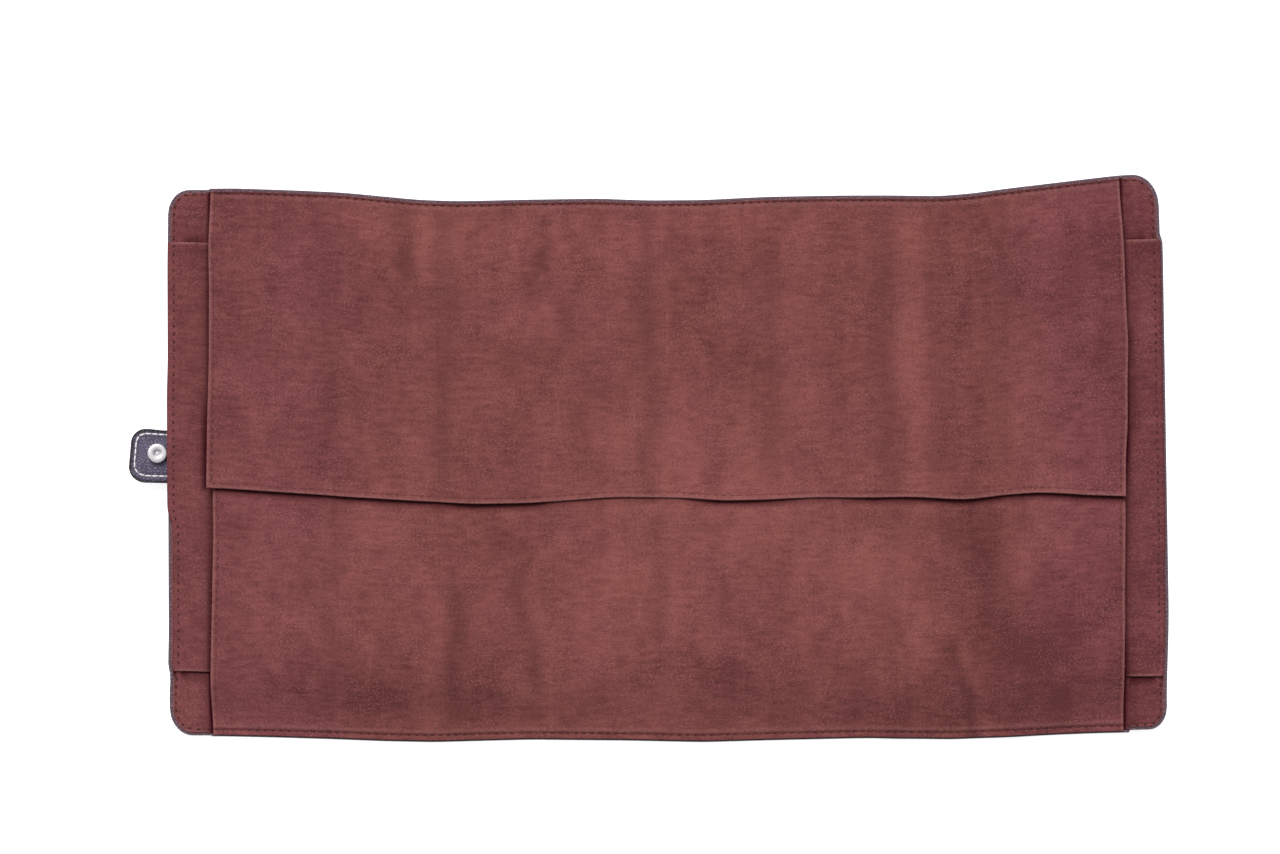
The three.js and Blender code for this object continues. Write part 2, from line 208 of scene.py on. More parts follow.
# Creases in the flaps: from and to (along, across), half width, depth, how dark the painted shade in them is,
# and how light the painted highlight beside them is, on the right of the crease where the value is above 0
# and else on the left
CREASES = (
    ((135, 124), (135, -12), 6.0, 0.7, 0.45, -0.35),
    ((242, 128), (243, -12), 5.0, 0.7, 0.50, 0.35),
    ((361, 124), (363, -10), 6.5, 0.6, 0.50, 0.60),
    ((78, 112), (82, 30), 7.0, 0.4, 0.35, 0.00),
    ((305, 118), (304, -6), 6.0, 0.4, 0.30, 0.20),
    ((386, 112), (385, 0), 6.0, 0.4, 0.25, 0.00),
    ((417, 114), (416, 2), 6.0, 0.4, 0.35, 0.00),
    ((189, 124), (187, 102), 4.0, 0.5, 0.55, 0.30),
    ((118, 131), (121, 98), 5.0, 0.6, 0.60, 0.20),
    ((252, 128), (246, 110), 4.0, 0.4, 0.50, -0.25),
    ((34, 120), (92, 115), 4.0, 0.4, 0.40, 0.30),
    ((196, 80), (192, 52), 5.0, 0.4, 0.35, -0.40),
    ((240, 14), (239, -14), 4.0, 0.5, 0.50, 0.35),
    ((140, -64), (139, -124), 5.5, 0.9, 0.70, -0.60),
    ((175, -56), (184, -110), 4.0, 0.6, 0.55, 0.25),
    ((160, -115), (184, -125), 3.2, 0.6, 0.60, 0.30),
    ((245, -22), (244, -84), 4.5, 0.5, 0.25, 0.35),
    ((364, -24), (362, -100), 6.0, 0.4, 0.25, 0.30),
    ((391, -90), (403, -136), 3.2, 0.6, 0.95, 0.60),
    ((399, -34), (421, -92), 9.0, 0.5, 0.40, 0.00),
    ((80, -28), (78, -104), 7.0, 0.4, 0.25, 0.00),
)


def length(name, words, size):
    """A length setting, given in millimetres."""
    return FloatProperty(name=name, description=words, default=size * MM, unit="LENGTH")


class RollSizes(PropertyGroup):
    """Sizes that drive the visible pieces."""

    end_margin: length("End margin", "Plain end beyond the outer pockets", 19.8)
    end_curl: FloatProperty(
        name="End curl", description="How far both ends turn up", default=math.radians(13), subtype="ANGLE"
    )
    curl_length: length("Curl length", "Half the run over which an end turns up", 15)
    step_delay: length("Step delay", "From the right fold to the step of the cover's edge", 1.8)
    leather: length("Leather", "Thickness of the cover", 1.4)
    rim: length("Rim", "Leather that shows round the lining", 1.6)
    suede: length("Suede", "Thickness of the lining and the pocket strip", 0.9)
    ply_gap: length("Ply gap", "Air between plies that lie on each other", 0.05)
    strip_depth: length("Strip depth", "Pocket strip across the roll", 214)
    strip_overhang: length("Strip overhang", "Pocket strip past the cover's left end", 0.6)
    end_bulge: length("End bulge", "Right end stands out where the strip is sewn in", 1.25)
    pocket_rise: length("Pocket rise", "Height of the slack strip over its seams", 1.6)
    flap: length("Flap", "Thickness of a flap's two plies", 1.2)
    deep_root: length("Deep root", "From the cover's edge to the deep flap's root", 1.7)
    shallow_root: length("Shallow root", "From the cover's edge to the shallow flap's root", 1.1)
    flap_crown: length("Flap crown", "Underside of a flap over the pockets", 5.2)
    hem_tuck: length("Hem tuck", "Shallow flap under the deep one's hem", 3)
    edge_seam: length("End seam", "From the cover's ends to their stitching", 3.0)
    deep_seam: length("Deep seam", "From the cover's edge to the deep flap's stitching", 2.7)
    shallow_seam: length("Shallow seam", "From the cover's edge to the shallow flap's stitching", 3.9)
    hem_seam: length("Hem seam", "From a hem to its stitching", 2.5)
    stitch_pitch: length("Stitch pitch", "From stitch to stitch in the suede", 4.0)
    stitch_width: length("Stitch width", "Thread of the suede's stitching", 0.8)
    grid: length("Grid", "Widest step of the sheets' meshes", 2.5)
    fold_reach: length("Fold reach", "Half the run that bends at a fold", 13)
    fold_ridge: length("Fold ridge", "How far the three tightest folds stand off the table", 1.6)
    ridge_reach: length("Ridge reach", "Half the width of a fold's ridge", 12)
    strap_width: length("Strap width", "Closure strap", 26.5)
    strap_bulge: length("Strap bulge", "Upper side of the strap stands out midway", 0.55)
    strap_reach: length("Strap reach", "Closure strap beyond the cover", 18.8)
    strap_root: length("Strap root", "Closure strap under the cover", 9)
    strap_ply: length("Strap ply", "One of the strap's two plies", 1.1)
    strap_pitch: length("Strap stitch pitch", "From stitch to stitch on the strap", 3.4)
    strap_seam: length("Strap seam", "From the strap's edge to its stitching", 2.6)
    strap_thread: length("Strap thread", "Thickness of the strap's thread", 0.85)
    snap_sides: IntProperty(name="Snap sides", description="Facets round a snap piece", default=72)
    camera_height: length("Camera height", "Camera above the table", 1300)
    picture_width: length("Picture width", "Width of the table in the picture", 641.8)


def colour(name, words, red, green, blue):
    """A colour setting from 0 to 255 per channel, as a picture shows it."""
    return FloatVectorProperty(
        name=name,
        description=words,
        default=(red / 255, green / 255, blue / 255),
        subtype="COLOR_GAMMA",
        min=0,
        max=1,
    )


class RollColours(PropertyGroup):
    """Colours as they show in a picture."""

    suede_dark: colour("Suede dark", "Nap brushed away from the light", 101, 54, 53)
    suede_mid: colour("Suede", "Burgundy suede", 126, 72, 69)
    suede_light: colour("Suede light", "Nap brushed towards the light", 147, 87, 82)
    # Light edges, partly worn and partly a painted highlight; also the colour of light flecks
    suede_edge: colour("Suede edge", "Worn turned edges", 154, 103, 101)
    # Painted shadow: the dark colour mixed in beside and under the flaps, along the hem and beside the
    # strip's edges
    suede_shadow: colour("Suede shadow", "Nap that stays dark beside and under the flaps", 56, 7, 16)
    leather: colour("Leather", "Grained cover leather", 92, 84, 108)
    leather_light: colour("Leather light", "Tops of the grain", 112, 104, 128)
    # Also the colour of the painted shadow beside the strap's stitching
    leather_edge: colour("Leather edge", "Painted edges of the strap", 44, 37, 47)
    leather_rim: colour("Leather rim", "Worn rim of the cover", 106, 81, 90)
    edge_thread: colour("Edge thread", "Thread of the suede's stitching", 76, 26, 33)
    hem_thread: colour("Hem thread", "Thread of the flaps' hems", 110, 59, 59)
    strap_thread: colour("Strap thread", "Thread of the strap's stitching", 255, 252, 255)
    nickel: colour("Nickel", "Snap fastener", 254, 252, 254)
    floor: colour("Floor", "Plain pale floor", 255, 255, 255)


def settings():
    """The sizes and colours, as set in the scene."""
    return bpy.context.scene.roll_sizes, bpy.context.scene.roll_colours


# Curves and places


def smooth(share):
    """From 0 to 1 without a corner at either end."""
    share = np.clip(share, 0, 1)
    return share * share * (3 - 2 * share)


def ramp(distance, start, run):
    """A smooth rise from 0 to 1, from a start and over a run that are both in millimetres."""
    return smooth((distance - start * MM) / (run * MM))


def bell(distance, width):
    """1 at no distance, falling off to both sides within about a width."""
    return np.exp(-((distance / width) ** 2))


def follow(points, along, softness=9 * MM):
    """Heights along a line through (millimetre, millimetre) points, with its corners rounded."""
    places, values = np.array(points, float).T * MM
    taps = np.linspace(-1, 1, 9)
    weights = bell(taps, 0.6)
    total = 0
    for tap, weight in zip(taps, weights):
        total = total + weight * np.interp(along + tap * softness, places, values)
    return total / weights.sum()


def stations(start, end, step, near_start=(), near_end=()):
    """Places from start to end, at most a step apart, with extra ones near either end."""
    count = max(1, math.ceil((end - start) / step - 1e-6))
    places = list(np.linspace(start, end, count + 1))
    places += [start + extra for extra in near_start if start + extra < end]
    places += [end - extra for extra in near_end if end - extra > start]
    places.sort()
    kept = [places[0]]
    for place in places[1:]:
        if place - kept[-1] > 0.02 * MM:
            kept.append(place)
    kept[-1] = end
    return np.array(kept)


def edge_steps(seam):
    """Extra places near a sewn edge: its rounding, and the groove of its seam."""
    groove = [seam - 0.7 * MM, seam - 0.3 * MM, seam, seam + 0.3 * MM, seam + 0.7 * MM]
    return [0.1 * MM, 0.25 * MM, 0.45 * MM, 0.7 * MM, 1.1 * MM, 1.7 * MM, 2.5 * MM] + groove


def corner_steps(radius):
    """Extra places along a rounded corner."""
    return [radius * (1 - math.cos(turn)) for turn in np.linspace(0, math.pi / 2, 12)]


def rounding(distance, radius):
    """How far a rounded edge falls away at a distance from it."""
    short = np.clip(1 - distance / radius, 0, 1)
    return radius * (1 - np.sqrt(1 - short * short))


def from_nearest(along, lines):
    """How far places lie from the nearest of some lines across the roll."""
    return np.min(np.abs(along[..., None] - lines), axis=-1)


def joint_point(name):
    """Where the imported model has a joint."""
    return Vector(next(joint["pos_m"] for joint in frame["joints"] if joint["name"] == name))


class RollShape:
    """Where the flat sheets lie: along the roll, across it, and up from the cover's outer face."""

    def __init__(self, sizes):
        points = [joint_point(f"fold_{left}_{right}") for left, right in FOLDS]
        low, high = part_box("cover_3")
        self.pitch = points[2].x - points[1].x
        self.folds = sizes.end_margin + self.pitch * np.arange(len(FOLDS))
        self.length = self.folds[-1] + sizes.end_margin
        self.half = high.y
        self.bulge, self.strip_half = sizes.end_bulge, sizes.strip_depth / 2
        self.ground = low.z
        self.step_delay = sizes.step_delay
        self.ridge, self.ridge_reach = sizes.fold_ridge, sizes.ridge_reach
        self.fold_height = points[2].z - low.z
        self.cuts = np.concatenate([[0], (self.folds[:-1] + self.folds[1:]) / 2, [self.length]])
        step, spare = 0.5 * MM, 60 * MM
        self.line = np.arange(-spare, self.length + spare, step)
        run = 2 * sizes.curl_length
        left_turn = 1 - smooth((self.line - self.folds[0]) / run + 0.5)
        right_turn = smooth((self.line - self.folds[-1]) / run + 0.5)
        self.slope = sizes.end_curl * (right_turn - left_turn)
        self.x = np.cumsum(np.cos(self.slope)) * step
        self.z = np.cumsum(np.sin(self.slope)) * step
        middle = (self.folds[2] + self.folds[3]) / 2
        self.x += (points[2].x + points[3].x) / 2 - np.interp(middle, self.line, self.x)
        self.z += points[2].z - np.interp(middle, self.line, self.z)

    def shift(self, along, across):
        """How far a point of the sheets sways across the roll."""
        share = np.clip(across / self.half / 2 + 0.5, -0.1, 1.1)
        top = follow(TOP_EDGE_SWAY, along)
        bottom = follow(BOTTOM_EDGE_SWAY, along)
        return bottom + share * (top - bottom)

    def place(self, along, across, height, sways=True):
        """Flat places, and heights over the cover's outer face, as places in the model."""
        along, across, height = np.broadcast_arrays(along, across, height)
        slope = np.interp(along, self.line, self.slope)
        ridges = sum(bell(along - fold, self.ridge_reach) for fold in self.folds[-3:])
        up = height + self.ridge * ridges - self.fold_height
        x = np.interp(along, self.line, self.x) - up * np.sin(slope)
        z = np.interp(along, self.line, self.z) + up * np.cos(slope)
        y = across
        if sways:
            # The long edges sag to the table, and both ends lean
            sag_start, sag_run = EDGE_SAG
            lean = (END_LEAN[0] + END_LEAN[1] * along / self.length) * across / self.half
            x = x - lean + self.stand_out(along, across)
            y = across + self.shift(along, across)
            z = z - (self.ground - TABLE_GAP) * smooth((np.abs(across) - sag_start) / sag_run)
        return np.stack([x, y, z], axis=-1)

    def stand_out(self, along, across):
        """How far the ends move along the roll where the pocket strip is sewn in."""
        below = ramp(self.strip_half + strip_shift(self.length) - across, 0, 1.2)
        above = ramp(across + self.strip_half, -11, 45)
        right = self.bulge * below * above
        under_strip = strip_shift(0.0) - self.strip_half - across
        notch = 0.7 * MM * ramp(under_strip, 0, 1) * (1 - ramp(under_strip, 0, 14))
        corner = 0.4 * MM * (1 - ramp(under_strip, 0, 1)) * (1 - ramp(-under_strip, 0, 20))
        left = notch - corner
        at_right = smooth((along - self.length + END_RUN) / END_RUN)
        return right * at_right + left * (1 - smooth(along / END_RUN))

    def edges(self, along, inset=0.0):
        """Lower and upper edge of a sheet with rounded corners, at places along the roll."""
        right = along > self.length / 2
        from_end = np.minimum(along, self.length - along)
        beside_flaps = ramp(self.folds[0] - np.where(right, self.step_delay, 0) - from_end, 0, 0.5)
        found = []
        for side, corners in ((-1, CORNERS["lower"]), (1, CORNERS["upper"])):
            wide, deep, step = (np.where(right, far, near) * MM for near, far in zip(*corners))
            short = np.clip(1 - (from_end - inset) / (wide - inset), 0, 1)
            fall = (deep - inset) * (1 - np.sqrt(1 - short * short))
            found.append(side * (self.half - inset - step * beside_flaps - fall))
        return found

    def strip_steps(self, inset=0.0):
        """Extra places from the lower and the upper edge of a sheet, beside the ends of the pocket strip."""
        margin = self.half - self.strip_half - inset
        low, high = margin + strip_shift(0.0), margin - strip_shift(self.length)
        return [[place + aside * MM for aside in (-1.2, -0.6, 0, 0.6, 1.2)] for place in (low, high)]

    def end_steps(self, steps, inset=0.0):
        """Extra places near both ends: those given, the rounded corners' and the flaps' sides'."""
        starts = [self.folds[0] - inset - delay for delay in (0, self.step_delay)]
        beside_flaps = starts + [start - 0.5 * MM for start in starts]
        near = []
        for lower, upper in zip(CORNERS["lower"], CORNERS["upper"]):
            bends = corner_steps(lower[0] * MM - inset) + corner_steps(upper[0] * MM - inset)
            near.append(bends + steps + beside_flaps)
        return near


# Meshes


def link(name, mesh, material):
    """The mesh as a piece of the scene, with a material."""
    mesh.materials.append(material)
    piece = bpy.data.objects.new(name, mesh)
    bpy.context.scene.collection.objects.link(piece)
    return piece


def grid_normals(points):
    """Normals of a grid of points, from its neighbours along both sides."""
    normal = np.cross(np.gradient(points, axis=0), np.gradient(points, axis=1))
    return normal / np.maximum(np.linalg.norm(normal, axis=-1, keepdims=True), 1e-12)


def grid_faces(rows, columns, first):
    """Faces between the points of a grid that starts at a first point."""
    index = first + np.arange(rows * columns).reshape(rows, columns)
    corners = [index[:-1, :-1], index[1:, :-1], index[1:, 1:], index[:-1, 1:]]
    return np.stack(corners, axis=-1).reshape(-1, 4)


def ring_of(rows, columns):
    """The outer points of a grid, once round."""
    index = np.arange(rows * columns).reshape(rows, columns)
    return np.concatenate([index[:-1, 0], index[-1, :-1], index[:0:-1, -1], index[0, :0:-1]])


def sheet_piece(name, upper, lower, normals, flat, tints, material):
    """A closed sheet between two grids of points, with its flat places and tints kept for the material."""
    rows, columns = upper.shape[:2]
    count = rows * columns
    ring = ring_of(rows, columns)
    after = np.roll(ring, -1)
    top_faces = grid_faces(rows, columns, 0)
    under_faces = grid_faces(rows, columns, count)[:, ::-1]
    side_faces = np.stack([ring + count, after + count, after, ring], axis=-1)
    faces = np.concatenate([top_faces, under_faces, side_faces])
    points = np.concatenate([upper.reshape(-1, 3), lower.reshape(-1, 3)])
    mesh = bpy.data.meshes.new(name)
    mesh.from_pydata(points.tolist(), [], faces.tolist())
    corner_point = np.zeros(len(mesh.loops), np.int32)
    mesh.loops.foreach_get("vertex_index", corner_point)
    layer = mesh.uv_layers.new(name="flat")
    both = np.concatenate([flat.reshape(-1, 2), flat.reshape(-1, 2)])
    layer.data.foreach_set("uv", both[corner_point].astype(np.float32).ravel())
    for tint, values in tints.items():
        attribute = mesh.attributes.new(tint, "FLOAT", "POINT")
        doubled = np.concatenate([values.ravel(), values.ravel()])
        attribute.data.foreach_set("value", doubled.astype(np.float32))
    mesh.polygons.foreach_set("use_smooth", np.ones(len(mesh.polygons), bool))
    mesh.set_sharp_from_angle(angle=math.radians(55))
    mesh.update()
    # The faces keep the whole sheet's normals, so that a cut doesn't show as a crease
    corner_normal = np.zeros(len(mesh.loops) * 3, np.float32)
    mesh.corner_normals.foreach_get("vector", corner_normal)
    corner_normal = corner_normal.reshape(-1, 3)
    faced = 8 * (rows - 1) * (columns - 1)
    whole = np.concatenate([normals[0].reshape(-1, 3), -normals[1].reshape(-1, 3)])
    corner_normal[:faced] = whole[corner_point[:faced]]
    mesh.normals_split_custom_set(corner_normal.tolist())
    return link(name, mesh, material)


def cut_sheet(names, shape, along, across, top, bottom, cuts, tints, material, nudge=0.0, slit=0.0):
    """One sheet over a grid of flat places, cut across into closed pieces with a slit between them."""
    spread = along[:, None] + nudge + 0 * across
    upper = shape.place(spread, across, top)
    lower = shape.place(spread, across, bottom)
    normals = grid_normals(upper), grid_normals(lower)
    flat = np.stack([spread, across], axis=-1)
    pieces = []
    for name, start, end in zip(names, cuts, cuts[1:]):
        first, last = (int(np.argmin(np.abs(along - place))) for place in (start, end))
        part = slice(first, last + 1)
        faces = upper[part].copy(), lower[part].copy()
        for face in faces:
            inward = slit / 2 * np.sign(face[-1, 0, 0] - face[0, 0, 0])
            face[0, :, 0] += inward
            face[-1, :, 0] -= inward
        cut_tints = {tint: values[part] for tint, values in tints.items()}
        cut_normals = [normal[part] for normal in normals]
        piece = sheet_piece(name, *faces, cut_normals, flat[part], cut_tints, material)
        piece["flat_size"] = [float(abs(along[last] - along[first])), float(np.ptp(across[part]))]
        pieces.append(piece)
    return pieces


def with_cuts(places, cuts):
    """Stations that also hold every cut."""
    merged = np.concatenate([places[np.min(np.abs(places[:, None] - cuts), axis=1) > 0.3 * MM], cuts])
    return np.sort(merged)


def stitch_mesh(name, starts, ends, ups, width, material, sunk):
    """Short rounded stitches from start to end points, sunk at both ends by a share of their width."""
    sides, stops = 6, np.array([0.0, 0.18, 0.5, 0.82, 1.0])
    girth = np.array([0.35, 0.85, 1.0, 0.85, 0.35]) * width / 2
    sink = np.array([-sunk, -0.05, 0.12, -0.05, -sunk]) * width
    run = ends - starts
    forward = run / np.maximum(np.linalg.norm(run, axis=1, keepdims=True), 1e-12)
    aside = np.cross(forward, ups)
    aside /= np.maximum(np.linalg.norm(aside, axis=1, keepdims=True), 1e-12)
    rise = np.cross(aside, forward)
    turn = 2 * np.pi * np.arange(sides) / sides
    centre = starts[:, None] + run[:, None] * stops[None, :, None] + rise[:, None] * sink[None, :, None]
    spoke = aside[:, None] * np.cos(turn)[None, :, None] + rise[:, None] * np.sin(turn)[None, :, None]
    points = centre[:, :, None] + spoke[:, None] * girth[None, :, None, None]
    around = np.arange(sides)
    rings = [
        np.stack([stop * sides + around, stop * sides + (around + 1) % sides,
                  (stop + 1) * sides + (around + 1) % sides, (stop + 1) * sides + around], axis=-1)
        for stop in range(len(stops) - 1)
    ]
    one = np.concatenate(rings)
    per = sides * len(stops)
    faces = [list(face) for face in (one[None] + per * np.arange(len(starts))[:, None, None]).reshape(-1, 4)]
    for stitch in range(len(starts)):
        first = stitch * per
        faces.append(list(range(first + sides - 1, first - 1, -1)))
        faces.append(list(range(first + per - sides, first + per)))
    mesh = bpy.data.meshes.new(name)
    mesh.from_pydata(points.reshape(-1, 3).tolist(), [], faces)
    mesh.polygons.foreach_set("use_smooth", np.ones(len(mesh.polygons), bool))
    mesh.update()
    return link(name, mesh, material)


def stitch_places(path, pitch, share=0.52):
    """Starts and ends of stitches along a flat path of (along, across) points."""
    path = np.asarray(path, float)
    legs = np.linalg.norm(np.diff(path, axis=0), axis=1)
    run = np.concatenate([[0], np.cumsum(legs)])
    count = max(1, int(round(run[-1] / pitch)))
    begin = np.arange(count) * run[-1] / count
    finish = begin + share * run[-1] / count
    at = lambda where: np.stack([np.interp(where, run, path[:, side]) for side in (0, 1)], axis=-1)
    return at(begin), at(finish)


def sew_stitches(name, shape, starts, ends, height, width, material, facing=1, sways=True, sunk=0.55):
    """Stitches between flat places, at a height over the cover's outer face."""
    middle = (starts + ends) / 2
    on = lambda flat, lift: shape.place(flat[:, 0], flat[:, 1], height(flat[:, 0], flat[:, 1]) + lift, sways)
    ups = (on(middle, MM) - on(middle, 0)) / MM * facing
    return stitch_mesh(name, on(starts, 0), on(ends, 0), ups, width, material, sunk)


def lathe(name, profile, base, axis, sides, material):
    """A turned piece from (radius, height) pairs in millimetres, on a base point along an axis."""
    turn = 2 * np.pi * np.arange(sides) / sides
    rows = []
    for radius, height in np.array(profile) * MM:
        ring = radius * np.cos(turn), radius * np.sin(turn), np.full(sides, height)
        rows.append(np.stack(ring, axis=-1))
    points = np.concatenate(rows)
    around = np.arange(sides)
    faces = []
    for row in range(len(profile) - 1):
        near, far = row * sides + around, (row + 1) * sides + around
        faces += np.stack([near, np.roll(near, -1), np.roll(far, -1), far], axis=-1).tolist()
    faces.append(list(range(sides - 1, -1, -1)))
    faces.append(list(range(len(points) - sides, len(points))))
    mesh = bpy.data.meshes.new(name)
    mesh.from_pydata(points.tolist(), [], faces)
    mesh.polygons.foreach_set("use_smooth", np.ones(len(mesh.polygons), bool))
    mesh.set_sharp_from_angle(angle=math.radians(40))
    place = Vector(axis).to_track_quat("Z", "Y").to_matrix().to_4x4()
    place.translation = Vector(base)
    mesh.transform(place)
    mesh.update()
    return link(name, mesh, material)


# Materials


def linear(shown):
    """A picture colour as the light that it stands for."""
    return [c / 12.92 if c <= 0.04045 else ((c + 0.055) / 1.055) ** 2.4 for c in shown] + [1.0]


class Shader:
    """A material's node tree, built socket by socket."""

    def __init__(self, name):
        self.material = bpy.data.materials.new(name)
        self.material.use_nodes = True
        self.tree = self.material.node_tree
        self.surface = self.tree.nodes["Principled BSDF"]

    def add(self, kind, inputs=(), **options):
        node = self.tree.nodes.new(kind)
        for option, value in options.items():
            setattr(node, option, value)
        for socket, value in dict(inputs).items():
            self.set(node, socket, value)
        return node

    def set(self, node, socket, value):
        if isinstance(value, bpy.types.NodeSocket):
            self.tree.links.new(value, node.inputs[socket])
        else:
            node.inputs[socket].default_value = value

    def flat(self, wide=1.0, deep=1.0):
        """Flat places in millimetres, stretched along and across the roll."""
        places = self.add("ShaderNodeUVMap", uv_map="flat").outputs["UV"]
        scale = (wide / MM, deep / MM, 1.0)
        return self.add("ShaderNodeMapping", {"Vector": places, "Scale": scale}).outputs["Vector"]

    def noise(self, places, scale, detail=2.0, roughness=0.5, distortion=0.0):
        inputs = {"Vector": places, "Scale": scale, "Detail": detail, "Roughness": roughness}
        node = self.add("ShaderNodeTexNoise", {**inputs, "Distortion": distortion}, noise_dimensions="2D")
        return node.outputs["Fac"]

    def grain(self, scale, detail=2.0):
        """Noise over a piece's own places, at a scale per millimetre."""
        places = self.add("ShaderNodeTexCoord").outputs["Object"]
        inputs = {"Vector": places, "Scale": scale / MM, "Detail": detail}
        return self.add("ShaderNodeTexNoise", inputs).outputs["Fac"]

    def sum(self, first, second, weight):
        """The first value, and the second times a weight."""
        inputs = {0: second, 1: weight, 2: first}
        return self.add("ShaderNodeMath", inputs, operation="MULTIPLY_ADD").outputs[0]

    def scale(self, first, second):
        return self.add("ShaderNodeMath", {0: first, 1: second}, operation="MULTIPLY").outputs[0]

    def between(self, value, low, high):
        inputs = {"Value": value, "From Min": low, "From Max": high}
        return self.add("ShaderNodeMapRange", inputs).outputs["Result"]

    def tint(self, name):
        return self.add("ShaderNodeAttribute", attribute_name=name).outputs["Fac"]

    def mix(self, share, first, second, blend="MIX"):
        node = self.add("ShaderNodeMix", data_type="RGBA", blend_type=blend)
        self.set(node, "Factor", share)
        for socket, value in ((6, first), (7, second)):
            self.set(node, socket, value)
        return node.outputs[2]

    def ramp(self, value, stops):
        node = self.add("ShaderNodeValToRGB", {"Fac": value})
        elements = node.color_ramp.elements
        while len(elements) < len(stops):
            elements.new(0.5)
        for element, (place, shade) in zip(elements, stops):
            element.position = place
            element.color = shade
        return node.outputs["Color"]

    def finish(self, base, height=None, depth=0.1 * MM, strength=1.0, **sockets):
        self.set(self.surface, "Base Color", base)
        for socket, value in sockets.items():
            self.set(self.surface, socket.replace("_", " "), value)
        if height is not None:
            bump = self.add("ShaderNodeBump", {"Height": height, "Distance": depth, "Strength": strength})
            self.set(self.surface, "Normal", bump.outputs["Normal"])
        return self.material


# How the nap's light is coloured where it looks more purple
PLUM = (1.0, 0.94, 1.13, 1.0)


def suede_material():
    """Brushed suede: mottled nap with streaks and flecks, painted shade in creases and seams, painted
    highlights beside creases, light edges that are partly worn and partly a painted highlight, and painted
    shadow beside and under the flaps.
    """
    colours = settings()[1]
    shader = Shader("brushed_suede")
    places = shader.flat()
    clouds = shader.noise(places, 0.013, 2.0, 0.5, 0.5)
    mottle = shader.noise(shader.flat(1.0, 0.8), 0.055, 4.0, 0.6, 0.6)
    streaks = shader.noise(shader.flat(1.0, 0.25), 0.12, 3.0, 0.6, 0.6)
    scuffs = shader.noise(shader.flat(0.26, 1.0), 0.42, 3.0, 0.6, 0.3)
    nap = shader.noise(places, 0.6, 3.0, 0.75)
    flecks = shader.noise(shader.flat(0.7, 1.0), 1.35, 1.0, 0.5)
    rubbed = shader.between(shader.noise(places, 0.045, 2.0, 0.5), 0.38, 0.62)
    tone = shader.scale(clouds, 0.20)
    # The tone tint brings uneven nap, painted shade towards the right end, and on the flaps painted
    # highlights beside the creases
    layers = ((mottle, 0.24), (streaks, 0.14), (scuffs, 0.31), (nap, 0.22), (shader.tint("tone"), 0.15))
    for layer, weight in layers:
        tone = shader.sum(tone, layer, weight)
    shades = (colours.suede_dark, colours.suede_mid, colours.suede_light)
    base = shader.ramp(tone, [(stop, linear(shade)) for stop, shade in zip((0.395, 0.56, 0.725), shades)])
    drift = shader.between(shader.noise(places, 0.02, 3.0, 0.6), 0.4, 0.65)
    hue = shader.sum(shader.tint("plum"), drift, 0.35)
    base = shader.mix(hue, base, PLUM, "MULTIPLY")
    dust = shader.scale(shader.between(flecks, 0.63, 0.69), shader.sum(0.22, rubbed, 0.38))
    base = shader.mix(dust, base, linear(colours.suede_edge))
    pits = shader.between(flecks, 0.36, 0.28)
    base = shader.mix(shader.scale(pits, 0.42), base, linear([c * 0.8 for c in colours.suede_dark]))
    # Painted shade in the creases and along the pocket seams
    crease = shader.scale(shader.tint("crease"), shader.between(mottle, 0.15, 0.65))
    base = shader.mix(shader.scale(crease, 0.7), base, linear([c * 0.72 for c in colours.suede_dark]))
    # Light lips: partly worn edges, partly a painted highlight
    lip = shader.scale(shader.tint("lip"), shader.between(nap, 0.2, 0.6))
    base = shader.mix(shader.scale(lip, 0.75), base, linear(colours.suede_edge))
    # Painted shadow beside and under the flaps, under the deep flap's hem, beside the strip's edges and in
    # the flaps' root seams
    base = shader.mix(shader.tint("gap"), base, linear(colours.suede_shadow))
    height = shader.sum(shader.scale(nap, 0.7), flecks, 0.3)
    material = shader.finish(base, height, 0.28 * MM, 0.8, Roughness=0.95)
    shader.set(shader.surface, "Specular IOR Level", 0.05)
    shader.set(shader.surface, "Sheen Weight", 0.03)
    shader.set(shader.surface, "Sheen Roughness", 0.6)
    return material


def leather_material():
    """Pebbled leather with dark painted edges, and a painted shadow beside the strap's stitching."""
    colours = settings()[1]
    shader = Shader("pebble_leather")
    places = shader.flat()
    warp = shader.noise(places, 0.35, 2.0, 0.5)
    moved = shader.add("ShaderNodeVectorMath", {0: places, 1: warp}, operation="ADD").outputs[0]
    inputs = {"Vector": moved, "Scale": 0.62, "Randomness": 1.0}
    cells = shader.add("ShaderNodeTexVoronoi", inputs, voronoi_dimensions="2D", feature="DISTANCE_TO_EDGE")
    pebble = shader.between(cells.outputs["Distance"], 0.0, 0.32)
    pores = shader.noise(places, 2.4, 2.0, 0.6)
    wear = shader.noise(places, 0.05, 3.0, 0.6)
    wrinkles = shader.noise(shader.flat(1.0, 0.45), 0.32, 3.0, 0.65, 1.0)
    tone = shader.sum(shader.scale(pebble, 0.40), shader.sum(wear, pores, 0.6), 0.30)
    tone = shader.sum(tone, shader.between(wrinkles, 0.36, 0.66), 0.34)
    tone = shader.sum(tone, 1.0, -0.10)
    stops = ((0.12, linear([c * 0.72 for c in colours.leather])), (0.42, linear(colours.leather)),
             (0.75, linear(colours.leather_light)))
    base = shader.ramp(tone, stops)
    # Dark edge paint, and a painted shadow along the strap's seam groove
    base = shader.mix(shader.tint("lip"), base, linear(colours.leather_edge))
    base = shader.mix(shader.tint("rim"), base, linear(colours.leather_rim))
    height = shader.sum(pebble, pores, 0.18)
    rough = shader.between(wear, 0.1, 1.6)
    return shader.finish(base, height, 0.3 * MM, 1.0, Roughness=shader.sum(0.36, rough, 0.4))


